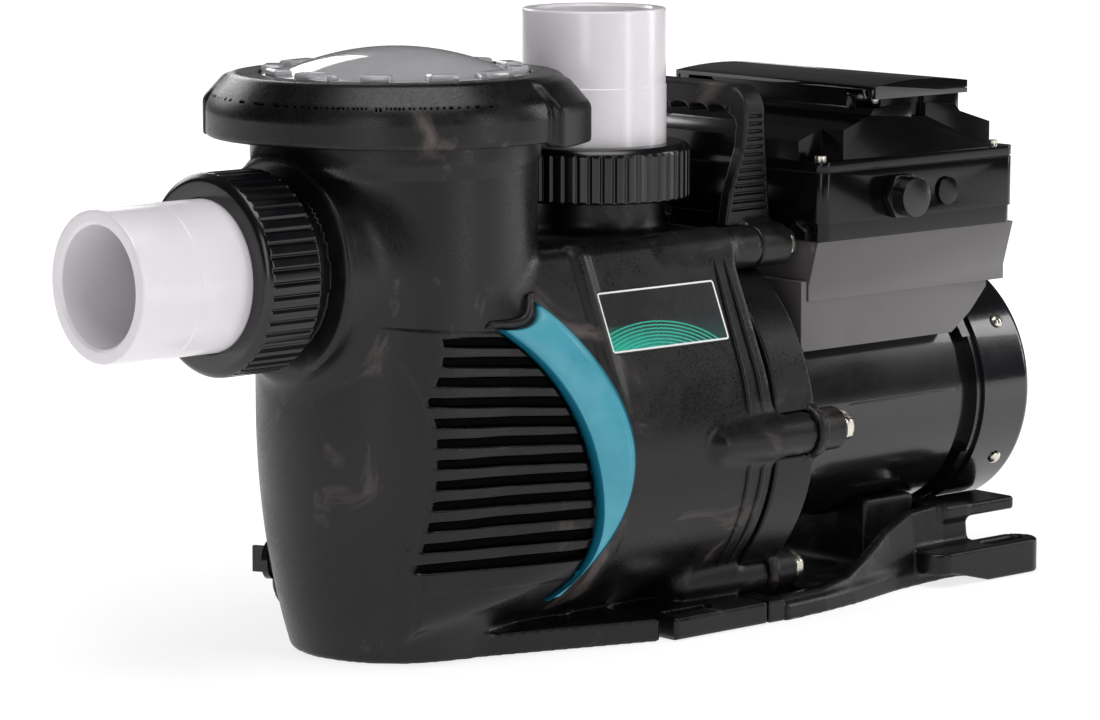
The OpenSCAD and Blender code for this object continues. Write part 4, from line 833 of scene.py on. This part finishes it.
def to_rounded(a, b, half):
    """Pulls a rectangular grid into a rounded rectangle: points past a corner's arc move
    straight back to it."""
    over = np.stack([np.abs(a) - half[0] + corner, np.abs(b) - half[1] + corner])
    past = (over > 0).all(axis=0)
    size = np.hypot(*over)
    square = np.maximum(over[0], over[1])
    shrink = np.where(past, square / np.maximum(size, 1e-9), 1)
    a2 = np.where(past, np.sign(a) * (half[0] - corner + over[0] * shrink), a)
    b2 = np.where(past, np.sign(b) * (half[1] - corner + over[1] * shrink), b)
    return a2, b2


a, b = to_rounded(a, b, badge_half)
over_a = np.maximum(np.abs(a) - badge_half[0] + corner, 0)
over_b = np.maximum(np.abs(b) - badge_half[1] + corner, 0)
inset = np.minimum(np.minimum(badge_half[0] - np.abs(a), badge_half[1] - np.abs(b)),
                   corner - np.hypot(over_a, over_b))


def badge_point(lift):
    """A place on the tangent plane of the drum, lifted off it along its normal."""
    out_y, out_z = -math.cos(lean), math.sin(lean)
    up_y, up_z = math.sin(lean), math.cos(lean)
    reach = casing_r + lift
    y = out_y * reach + up_y * (b + badge_up)
    z = shaft_z + out_z * reach + up_z * (b + badge_up)
    return np.stack([a + badge_x, y, z], -1)


def tint(picture, share, colour):
    """Mixes a hex colour into the picture by a share from 0 to 1."""
    return picture + (np.array(hex_linear(colour)[:3]) - picture) * share[..., None]


# The plate's rim is rounded; its print is dark, with a glow, arcs and a border
top_edge = ease(inset / 0.6)
points, faces = closed_sheet(badge_point(badge_lift + 0.7 * top_edge), badge_point(-1.0 + 0 * a))
badge = new_mesh("badge_plate", points, faces)
plate_dark = "#17181a"
wave = np.hypot((a + 14) * 0.62, b + 44)
arcs = (np.abs((wave / 2.2) % 1 - 0.5) > 0.33) & (wave > 20) & (wave < 43) & (b < 1)
glow = np.clip((-b - 2) / 14, 0, 1) * np.clip((30 - a) / 60, 0.12, 1)
border = (inset > print_edge) & (inset < 2.1)
picture = np.zeros((2, *a.shape, 3)) + hex_linear(plate_dark)[:3]
for share, colour in ((glow, "#1f9a86"), (arcs, "#35b9a0"), (border, "#f0f0f0"),
                      (inset < print_edge, plate_dark)):
    picture[0] = tint(picture[0], share * 1.0, colour)
ink = np.concatenate([picture.reshape(-1, 3), np.ones((a.size * 2, 1))], 1).astype(np.float32)
layer = badge.data.color_attributes.new("ink", "FLOAT_COLOR", "POINT")
layer.data.foreach_set("color", ink.ravel())
tree = finishes["badge"].node_tree
reader = add(tree, "Attribute", attribute_name="ink")
tree.links.new(reader.outputs["Color"], tree.nodes["Principled BSDF"].inputs["Base Color"])
dress(badge, "badge", "pump", "rating_badge")

# %% [markdown]
# ### Seal plate
# The seal plate closes the casing. Its rim is as wide as the drum, ears carry the bolts, and a
# ribbed recess behind the rim keeps the moulding's walls even.

# %% Seal plate
plate_end = motor_x0 - 14
recess_r, recess_wall, recess_x, bore_in_plate = 78, 12, split_x + 13, 30
rib_turn, rib_half = math.pi / 6, 2


def seal_plate(x, y, z):
    """Rim, foot block and bolt ears, with a ribbed recess behind and room for the bosses."""
    radial = np.hypot(y, z - shaft_z)
    rim = meet(radial - rim_r, span(x, plate_low[0], plate_end), 1.6)
    foot = meet(meet(np.abs(y) - foot_half, span(x, plate_low[0], plate_low[0] + 14.4), 1.2),
                span(z, 0, foot_t), 1.5)
    body = weld(rim, foot, 6)
    body = weld(body, bosses(x, y, z, boss_end + 0.4, plate_end, boss_r + 3, [1, 2]), 4)
    body = weld(body, bosses(x, y, z, boss_end + 0.4, plate_high[0], boss_r, [1, 2]), 3)
    recess = np.maximum(recess_r - radial, radial - rim_r + recess_wall)
    recess = np.maximum(recess, recess_x - x)
    turn = np.arctan2(z - shaft_z, y)
    rib = np.abs((turn / rib_turn + 0.5) % 1 - 0.5) * rib_turn * radial - rib_half
    body = carve(body, np.maximum(recess, -rib), 1.5)
    bore = np.maximum(radial - bore_in_plate, span(x, 0, 200))
    room = bosses(x, y, z, 0, boss_end + 0.3, boss_r + 0.5, [0, 1, 2])
    room = np.minimum(room, bosses(x, y, z, 0, 200, boss_r + 0.5, [0]))
    return np.maximum(carve(body, np.minimum(bore, room), 0.4), -z)


moulding("seal_plate_skin", seal_plate, plate_low - 3, plate_high + 3, 1.9, "moulded_black",
         "pump", "seal_plate")

# %% [markdown]
# ### Carry handle
# The handle is a bent bar with finger scallops and two legs that widen at the bolts. Slots in
# the outer faces save plastic and give grip.

# %% Carry handle
handle_low, handle_high = box_mm("carry_handle")
leg_half, leg_depth, bar_depth, shoulder, hollow_r = 60.0, 9, 19, 18.0, 8
finger_pitch, finger_r, finger_reach = 17, 8.3, 44
slot_pitch, slot_half_height, slot_low, slot_high = 4.8, 0.9, 250, 313


def handle(x, y, z):
    """Bar with rounded shoulders and scallops, legs whose two edges are functions of height,
    and bolt bosses, with narrow slots cut in the legs' outer faces."""
    across = np.abs(y)
    top = handle_high[2]
    heights = [225, 243, 262, 290, 305, top]
    back_edge = np.interp(z, heights, [72.4, 56.5, 60, 70.5, 72.5, 72.5])
    front_edge = np.interp(z, heights, [96, 95.5, 94, 91.5, 90.5, 90])
    leg = np.maximum(back_edge - x, x - front_edge)
    arch = np.hypot(np.maximum(across - leg_half + shoulder, 0),
                    np.maximum(z - top + shoulder, 0)) - shoulder
    hollow = np.hypot(np.maximum(across - leg_half + leg_depth + hollow_r, 0),
                      np.maximum(z - top + bar_depth + hollow_r, 0)) - hollow_r
    finger = np.abs((y / finger_pitch + 0.5) % 1 - 0.5) * finger_pitch
    scallop = np.hypot(finger, (z - top + bar_depth) * 1.6) - finger_r
    hollow = np.minimum(hollow, np.maximum(scallop, across - finger_reach))
    loop = np.maximum(np.maximum(arch, -hollow), 236 - z)
    body = meet(loop, leg, 2.2)
    body = weld(body, bosses(x, y, z, boss_end + 0.4, handle_high[0], boss_r, [0]), 6)
    row = np.abs(((z - slot_low - 2) / slot_pitch + 0.5) % 1 - 0.5) * slot_pitch
    groove = np.maximum(row - slot_half_height, span(z, slot_low, slot_high))
    groove = np.maximum(groove, np.maximum(leg_half - 1.8 - across, leg + 3.2))
    body = np.maximum(body, -groove)
    room = np.maximum(drum_section(y, z) - 0.4, x - boss_end - 0.3)
    bolt = bosses(x, y, z, 0, 200, 5.1, [0])
    return np.maximum(body, -np.minimum(room, bolt))


moulding("handle_skin", handle, handle_low - 3, handle_high + 3, 0.95, "moulded_black", "pump",
         "carry_handle")

# %% [markdown]
# ### Lid ring
# The ring is turned like a bottle cap: a straight side, a sloped shoulder and a flat top round
# the opening. Two grip lobes stand out and hang a little lower.

# %% Lid ring
ring_top, ring_foot = ring_high[2], pot_top - 13
ring_side, slope_top, lid_neck = 113.0, ring_top - 16, 81.0
lobe_out, lobe_half, lobe_turn = 6, 25, 63


def lid_ring(x, y, z):
    """A turned profile (side, slope and top planes) welded to two lobes a little further out,
    with the room for the lid cut from inside."""
    px = x - pot_x
    radial, turn = np.hypot(px, y), np.degrees(np.arctan2(y, px))
    slope = (radial - ring_side) * 0.727 + (z - slope_top) * 0.686
    body = meet(meet(radial - ring_side, slope, 5), span(z, ring_foot, ring_top), 2)
    off = np.abs((turn + lobe_turn + 90) % 180 - 90)
    lobe = meet(radial - ring_side - lobe_out, slope - 3.5, 2)
    lobe = meet(lobe, span(z, ring_low[2], ring_top - 2), 2)
    lobe = meet(lobe, np.radians(off) * radial - lobe_half, 4)
    body = weld(body, np.maximum(lobe, 100 - radial), 4)
    inside = np.maximum(radial - 108, z - ring_top + 13.6)
    return np.maximum(body, -np.minimum(inside, radial - (lid_neck + 0.5)))


moulding("lid_ring_skin", lid_ring, ring_low - 3, ring_high + 3, 1.7, "moulded_black", "ring",
         "lid_ring")

# %% [markdown]
# ### Motor foot
# The foot is a flat plate whose sides sweep up to the cradle under the motor, with slotted
# loops for the hold-down bolts and two wings behind.

# %% Motor foot
foot_low, foot_high = box_mm("motor_foot")
loop_x, loop_half, loop_r = foot_high[0] - 27.0, 38, 13
plate_t, wall_half, cradle_half, cradle_top = 9, 4, 58, 54
wing_in, wing_out, wing_low, wing_top = 36, 81, 37.5, 46


def motor_foot(x, y, z):
    """Plate, leaning side walls along curves in plan and height, cradle, loops and wings."""
    across = np.abs(y)
    half = np.interp(x, [61, 100, 140, 180, 232, 262], [111, 107, 99, 88, 82, 82])
    plate = meet(across - half, span(x, foot_low[0], motor_x1 + 8), 2)
    plate = meet(plate, span(z, 0, plate_t), 1.5)
    stations = [61, 100, 130, 155, 180, 205, 235, 262]
    crest = np.interp(x, stations, [14, 14, 17, 25, 37, 46, 48, 46])
    low_y = np.interp(x, stations, [107, 103, 99, 93, 87, 83, 80, 80])
    high_y = np.interp(x, stations, [103, 99, 94, 86, 79, 75, 74, 74])
    share = np.clip(z / crest, 0, 1)
    wall = np.abs(across - low_y + (low_y - high_y) * share) - wall_half
    wall = meet(meet(wall, span(z, 0, 1e3), 1), z - crest, 2)
    wall = meet(wall, span(x, foot_low[0], motor_x1 + 6), 2)
    body = weld(plate, wall, 7)
    cradle = meet(across - cradle_half, span(x, motor_x1 - 68, motor_x1 - 22), 3)
    cradle = meet(cradle, span(z, 0, cradle_top), 3)
    body = weld(body, cradle, 8)
    loop = np.hypot(np.maximum(np.abs(x - loop_x + 24) - loop_half, 0), across - slot_y) - loop_r
    arm_low = np.clip((loop_x - 26 - x) * 0.25, 0, 8)
    body = weld(body, meet(meet(loop, z - 22, 2), arm_low - z, 1.5), 5)
    wing = meet(span(across, wing_in, wing_out), span(x, motor_x1 - 18, motor_x1 + 51), 4)
    wing = meet(wing, span(z, wing_low, wing_top), 2)
    body = weld(body, wing, 5)
    slot = np.hypot(np.maximum(np.abs(x - loop_x + 1) - slot_half, 0), across - slot_y) - slot_r
    shaft = np.hypot(y, z - shaft_z)
    room = np.minimum(shaft - motor_r - 0.3, np.maximum(shaft - 84.6, motor_x1 - x))
    room = np.minimum(room, np.maximum(shaft - rim_r - 0.5, x - plate_end - 0.5))
    room = np.minimum(room, bosses(x, y, z, 0, plate_high[0] + 12, boss_r + 4, [2]))
    return np.maximum(carve(body, np.minimum(slot, room), 0.8), -z)


moulding("motor_foot_skin", motor_foot, foot_low - 3, foot_high + 3, 1.8, "moulded_black",
         "pump", "motor_foot")

# %% [markdown]
# ## Turned pieces
# Pipe ends, union nuts, dome and acorn nuts are turned or moulded round an axis. Each is a
# profile (distance along the axis, radius) carried round the axis; the radius may also depend
# on the angle, which gives the nuts their flutes and flats.

# %% Turning helper
def rounded(profile, radius, steps=5):
    """Replaces every corner of a closed profile by an arc-like curve: a quadratic curve from
    radius before the corner to radius after it."""
    p = np.array(profile, float)
    before, after = np.roll(p, 1, axis=0) - p, np.roll(p, -1, axis=0) - p
    cut = np.minimum(np.broadcast_to(radius, len(p)),
                     0.45 * np.minimum(np.linalg.norm(before, axis=1),
                                       np.linalg.norm(after, axis=1)))
    start = p + before / np.linalg.norm(before, axis=1)[:, None] * cut[:, None]
    stop = p + after / np.linalg.norm(after, axis=1)[:, None] * cut[:, None]
    t = np.linspace(0, 1, steps)[None, :, None]
    curve = (1 - t) ** 2 * start[:, None] + 2 * t * (1 - t) * p[:, None] + t ** 2 * stop[:, None]
    return curve.reshape(-1, 2)


def turned(profile, sides=128, shape=None):
    """Points and quads of a closed profile carried round the Z axis. shape(along, radius,
    angle) may change the radius."""
    angle = np.linspace(0, 2 * np.pi, sides, endpoint=False)
    along = np.repeat(profile[:, :1], sides, axis=1)
    radius = np.repeat(profile[:, 1:], sides, axis=1)
    if shape is not None:
        radius = shape(along, radius, angle[None, :])
    points = np.stack([radius * np.cos(angle), radius * np.sin(angle), along], -1)
    n = len(profile)
    i, j = np.meshgrid(np.arange(n), np.arange(sides), indexing="ij")
    k, m = (i + 1) % n, (j + 1) % sides
    quads = np.stack([i * sides + j, i * sides + m, k * sides + m, k * sides + j], -1)
    return points.reshape(-1, 3), quads.reshape(-1, 4)


def outward(points, quads):
    """Turns the faces round if the solid's volume comes out negative."""
    a, b, c, d = (points[quads[:, i]] for i in range(4))
    volume = (np.cross(b - a, c - a) * a).sum() + (np.cross(c - a, d - a) * a).sum()
    return quads if volume > 0 else quads[:, ::-1]


def placed(points, axis, origin):
    """Points turned round Z carried over to another axis (+X, -X or Z) and moved to origin."""
    x, y, z = points.T
    spun = {"x": (z, x, y), "-x": (-z, y, x), "z": (x, y, z)}[axis]
    return np.stack(spun, -1) + np.array(origin, float)


def lathe(name, profile, axis, origin, slot, body, *nodes, sides=128, shape=None):
    """A turned piece on an axis, dressed."""
    points, quads = turned(np.asarray(profile, float), sides, shape)
    points = placed(points, axis, origin)
    dress(new_mesh(name, points, outward(points, quads)), slot, body, *nodes)


# %% [markdown]
# ### Pipe ends
# Each port ends in a white stub that a pipe is glued into. It is cut from extruded tube, so a
# turned profile with a fine step and a broken edge is all that it needs.

# %% Pipe ends
ports = (("suction", "-x", suction_z), ("discharge", "z", 0))
collar_t, step_x, step_in = 5, 48, 0.5


def port_frame(node, axis, height):
    """Where a piece of a port starts, its length along the port and its outer radius."""
    low, high = box_mm(node)
    radius = (high[1] - low[1]) / 2
    if axis == "-x":
        return (high[0], 0, height), high[0] - low[0], radius
    return (0, 0, low[2]), high[2] - low[2], radius


for port, axis, height in ports:
    node = port + "_tailpiece"
    origin, length, collar = port_frame(node, axis, height)
    profile = rounded([(0, bore_r), (0, collar), (collar_t, collar), (collar_t, pipe_r),
                       (step_x, pipe_r), (step_x + 0.6, pipe_r - step_in),
                       (length, pipe_r - step_in), (length, bore_r + 1.5),
                       (length - 1.5, bore_r)], [0.8, 0.8, 0.8, 0.8, 0.3, 0.3, 1.6, 0.6, 0.6])
    lathe(node + "_turned", profile, axis, origin, "white_pvc", "pump", node, sides=160)

# %% [markdown]
# ### Face of the suction neck
# The neck behind the suction nut ends in a flat, round-edged face. A turned ring gives it a
# crisper edge than the tank's field does.

# %% Suction neck face
neck_face, face_r, face_t = pot_x - pot_r - 6.3, pipe_r + 21.3, 9
profile = rounded([(0, pipe_r - 1), (0, face_r), (-face_t, face_r), (-face_t, pipe_r - 1)],
                  [0.5, 4.0, 0.5, 0.5], 8)
lathe("suction_neck_face", profile, "-x", (neck_face, 0, suction_z), "moulded_black", "pump",
      sides=160)

# %% [markdown]
# ### Ridges on the casing
# Two round ridges run down each side of the casing beside the split, where the mould's halves
# are stiffened. Tubes laid on the casing's own outline give them with few faces.

# %% Casing ridges
# From the shaft, walk out at each angle until the outline's field is zero
ridge_r = 1.7
angle = np.linspace(math.radians(-52), math.radians(57), 140)
reach_r = np.full_like(angle, 60.0)
for _ in range(walk_steps):
    ridge_y, ridge_z = reach_r * np.cos(angle), shaft_z + reach_r * np.sin(angle)
    reach_r = reach_r - walk_share * drum_section(ridge_y, ridge_z)
for number, (ridge_x, bend) in enumerate(((split_x - 9.5, 0.0), (split_x - 17.5, 4.0))):
    path_x = ridge_x - bend * np.sin((angle - angle[0]) / (angle[-1] - angle[0]) * np.pi)
    size = ridge_r * taper(len(angle), 6, 0.02)
    tube_pair(f"casing_ridge_{number + 1}", path_x, ridge_y, ridge_z, size, "moulded_black")

# %% [markdown]
# ### Motor lip and seams
# The rear bell ends in a lip that reaches a little way into the fan cover, and the housing is
# pressed from sheet, with a folded seam along each side. A turned ring and two thin tubes
# stand for them.

# %% Motor lip and seams
lip_r, lip_t, lip_length = (cover_high[2] - shaft_z) - 2.4, 1.6, 10
profile = rounded([(0, lip_r - lip_t), (0, lip_r), (lip_length, lip_r),
                   (lip_length, lip_r - lip_t)], 0.4, 4)
lathe("bell_lip", profile, "x", (motor_x1 + 13.5, 0, shaft_z), "motor_black", "pump", sides=192)
seam_points, seam_up = 40, 5.5
seam_x = np.linspace(motor_x0 + 54, motor_x1 - 2, seam_points)
seam_size = 0.9 * taper(seam_points, 8, 0.02)
tube_pair("motor_seam_", seam_x, np.full(seam_points, motor_r - 0.3),
          np.full(seam_points, shaft_z + seam_up), seam_size, "motor_black")

# %% [markdown]
# ### Union nuts
# The nuts are moulded with 48 flutes for a strap wrench. They could be cut one by one, but a
# turned wall whose radius falls in the gaps, as a function of the angle, gives all at once.

# %% Union nuts
def fluted(flutes, z0, z1, depth):
    """Flutes on the outer wall: round-topped teeth between z0 and z1 with narrow gaps."""
    def shape(along, radius, angle):
        wave = np.abs((angle * flutes / (2 * np.pi)) % 1 - 0.5) * 2
        gap = ease((wave - 0.62) / 0.22)
        inside = ease((along - z0) / 0.8) * ease((z1 - along) / 0.8)
        return radius - depth * gap * inside * (radius > pipe_r + 12)
    return shape


wall_rings = 12
for port, axis, height in ports:
    node = port + "_nut"
    origin, length, outer = port_frame(node, axis, height)
    thread, lip = pipe_r + 6.2, pipe_r + 0.6
    core = rounded([(0, thread), (0, outer - 1.2), (1.5, outer), (length - 3.5, outer),
                    (length, outer - 3.5), (length, lip), (length - 6, lip),
                    (length - 6, thread)], [0.5, 0.5, 0.8, 2.0, 2.0, 0.6, 0.4, 0.4], 6)
    # More rings along the outer wall, so that the flutes can start and stop
    wall = np.stack([np.linspace(2.4, length - 5.6, wall_rings), np.full(wall_rings, outer)], 1)
    profile = np.concatenate([core[:18], wall, core[18:]])
    lathe(node + "_turned", profile, axis, origin, "nut_black", port + "_union", node,
          sides=576, shape=fluted(48, 1.0, length - 4.0, 2.0))

# %% [markdown]
# ### Clear lid
# The lid is one moulding: a low dome that is part of a sphere, a flat rim, and twelve small
# trays round the rim, every third one wider. The dome and rim are turned as one closed
# profile, and each tray is a stack of rounded rectangles.

# %% Clear lid
rise, dome_r, dome_wall, lid_r = 14.5, 67.0, 4.5, 81
rim_z, dome_top, dome_foot = lid_low[2] + 6, lid_high[2], lid_high[2] - rise
sphere_r = (dome_r ** 2 + rise ** 2) / (2 * rise)
s = np.linspace(0, 1, 24) * math.asin(dome_r / sphere_r)
dome_out = np.stack([dome_top - sphere_r * (1 - np.cos(s)), sphere_r * np.sin(s)], 1)
dome_out[0, 1] = 0.02
dome_in = dome_out[::-1] * (1, 0.955) - (dome_wall, 0)
dome_in[-1, 1] = 0.02
profile = np.concatenate([dome_out, [(dome_foot - 0.6, 69), (dome_foot - 1, 79.5),
                                     (dome_foot - 2.5, 80.8), (rim_z, lid_r),
                                     (lid_low[2], lid_r), (lid_low[2], 76),
                                     (dome_foot - 6, 74)], dome_in])
points, quads = turned(profile, 160)
solids = [(placed(points, "z", (pot_x, 0, 0)), [outward(points, quads)])]
lugs, lug_start, lug_in, lug_out = 12, 12, 68.5, 79.5
levels = dome_foot + np.array([-2, 2.2, 3.2, 3.4])
insets = np.array([0.0, 0.0, 0.8, 2.6])
for k in range(lugs):
    half = 9.0 if k % 3 else 13.0
    box = rounded([(-half, lug_in), (half, lug_in), (half, lug_out), (-half, lug_out)], 1.6, 4)
    centre = box.mean(axis=0)
    reach = np.abs(box - centre).max(axis=0)
    rings = np.stack([np.column_stack([centre + (box - centre) * (1 - inset / reach),
                                       np.full(len(box), level)])
                      for inset, level in zip(insets, levels)])
    p, *faces = loft(rings, (*centre, levels[0] - 0.02), (*centre, levels[-1] + 0.02))
    angle = math.radians(k * 360 / lugs + lug_start)
    c, s = math.cos(angle), math.sin(angle)
    p = np.column_stack([pot_x + p[:, 1] * c - p[:, 0] * s, p[:, 1] * s + p[:, 0] * c, p[:, 2]])
    solids.append((p, faces))
starts = np.cumsum([0] + [len(p) for p, _ in solids])
blocks = [block + start for (_, faces), start in zip(solids, starts) for block in faces]
clear = new_mesh("clear_lid_skin", np.concatenate([p for p, _ in solids]), *blocks)


def merged(mesh, gap, flat=None):
    """Merges a mesh's points nearer than the gap in mm; then either joins faces that lie
    within the angle flat of one plane, or turns all faces outwards."""
    work = bmesh.new()
    work.from_mesh(mesh)
    bmesh.ops.remove_doubles(work, verts=work.verts, dist=gap * MM)
    if flat is None:
        bmesh.ops.recalc_face_normals(work, faces=work.faces)
    else:
        bmesh.ops.dissolve_limit(work, angle_limit=flat, verts=work.verts, edges=work.edges)
    work.to_mesh(mesh)
    work.free()


merged(clear.data, 0.004)
dress(clear, "clear_plastic", "lid", "clear_lid")

# %% [markdown]
# ### Acorn nuts
# Six plated nuts with closed domes hold the seal plate. Each is a turned profile held inside
# six flats, and the pair of a row is one piece.

# %% Acorn nuts
seat_x, flat_r = box_mm("casing_nuts")[0][0], boss_r - 4.5
s = np.linspace(0, 1, 14) * np.pi / 2
dome_r, tip_r = flat_r - 0.5, 0.05


def hexagon(along, radius, angle):
    """Radius held inside the six flats: never more than flat over the cosine."""
    flat = flat_r / np.cos((angle + np.pi / 6) % (np.pi / 3) - np.pi / 6)
    return np.minimum(radius, flat)


for row, (by, bz) in enumerate(bolt_rows):
    hex_len, top = (5.5, 8.7) if row == 0 else (8.0, 12.5)
    dome = np.stack([top - dome_r * (1 - np.cos(s)) * 0.9, dome_r * np.sin(s)], 1)[::-1]
    dome = dome[dome[:, 0] > hex_len - 0.5]
    profile = np.concatenate([[(0, tip_r), (0, flat_r * 1.02), (0.8, flat_r * 1.15),
                               (hex_len - 1.2, flat_r * 1.15), (hex_len, flat_r)], dome[:-1],
                              [(top, tip_r)]])
    one, quads = turned(profile, 96, hexagon)
    points = np.concatenate([placed(one, "x", (seat_x, side * by, bz)) for side in (1, -1)])
    quads = np.concatenate([quads, quads + len(one)])
    dress(new_mesh(f"acorn_nuts_{row + 1}", points, outward(points, quads)), "steel_bright",
          "pump", *(["casing_nuts"] if row == 0 else []))

# %% [markdown]
# ## Softened edges on the pressed and moulded boxes
# A real edge is never sharp: it has a small radius that catches the light. These parts keep
# their CAD shape. A copy of each is merged, its flat faces are made whole again, and a bevel
# rounds the edges that turn by more than 30 degrees.

# %% Softened copies
def soften(node, width, body="pump"):
    """A copy of a CAD node with its edges rounded to a width in mm."""
    mesh = frame["nodes"][node].data.copy()
    mesh.materials.clear()
    merged(mesh, 0.005, math.radians(1.0))
    mesh.polygons.foreach_set("use_smooth", np.ones(len(mesh.polygons), bool))
    obj = bpy.data.objects.new(node + "_soft", mesh)
    bpy.context.collection.objects.link(obj)
    bevel = obj.modifiers.new("edge", "BEVEL")
    bevel.width, bevel.segments = width * MM, 3
    bevel.limit_method, bevel.angle_limit = "ANGLE", math.radians(30)
    bevel.harden_normals = True
    bevel.miter_outer = "MITER_ARC"
    dress(obj, slot_of[node], body, node)


for node, width in {
    "drive_box": 1.2, "drive_lid": 0.9, "drive_skirt": 1.2, "drive_adapter": 1.5,
    "conduit_plug": 0.6, "conduit_blank": 0.4, "motor_flange": 1.0,
}.items():
    soften(node, width)
soften("keypad_cover", 0.7, "keypad_flap")

# %% [markdown]
# ## Floor
# White paper under the pump. A plain white sheet would turn grey away from the lamps, so it
# also glows a little, and only the pump's own faint shadow shows.

# %% Floor
reach, sink = 9000, -0.4
corners = [(x, y, sink) for x, y in ((-reach, -reach), (reach, -reach), (reach, reach),
                                     (-reach, reach))]
floor = new_mesh("floor", np.array(corners), np.array([[0, 1, 2, 3]]))
paper = finish("white paper floor", ["#9a9a9c", "#a2a2a4"], 400, 2.0, (0.8, 0.9), 0.01,
               Emission_Color=(1, 1, 1, 1), Specular_IOR_Level=0.05)
# The glow grows with the distance from the pump
tree = paper.node_tree
away = add(tree, "VectorMath", [(add(tree, "TexCoord").outputs["Object"], 0)],
           operation="LENGTH")
glow = add(tree, "MapRange", [(away.outputs["Value"], "Value")], From_Min=0.3, From_Max=1.0,
           To_Min=0.78, To_Max=1.1)
tree.links.new(glow.outputs["Result"], tree.nodes["Principled BSDF"].inputs["Emission Strength"])
floor.data.materials.append(paper)
print("floor half width", reach, "mm")
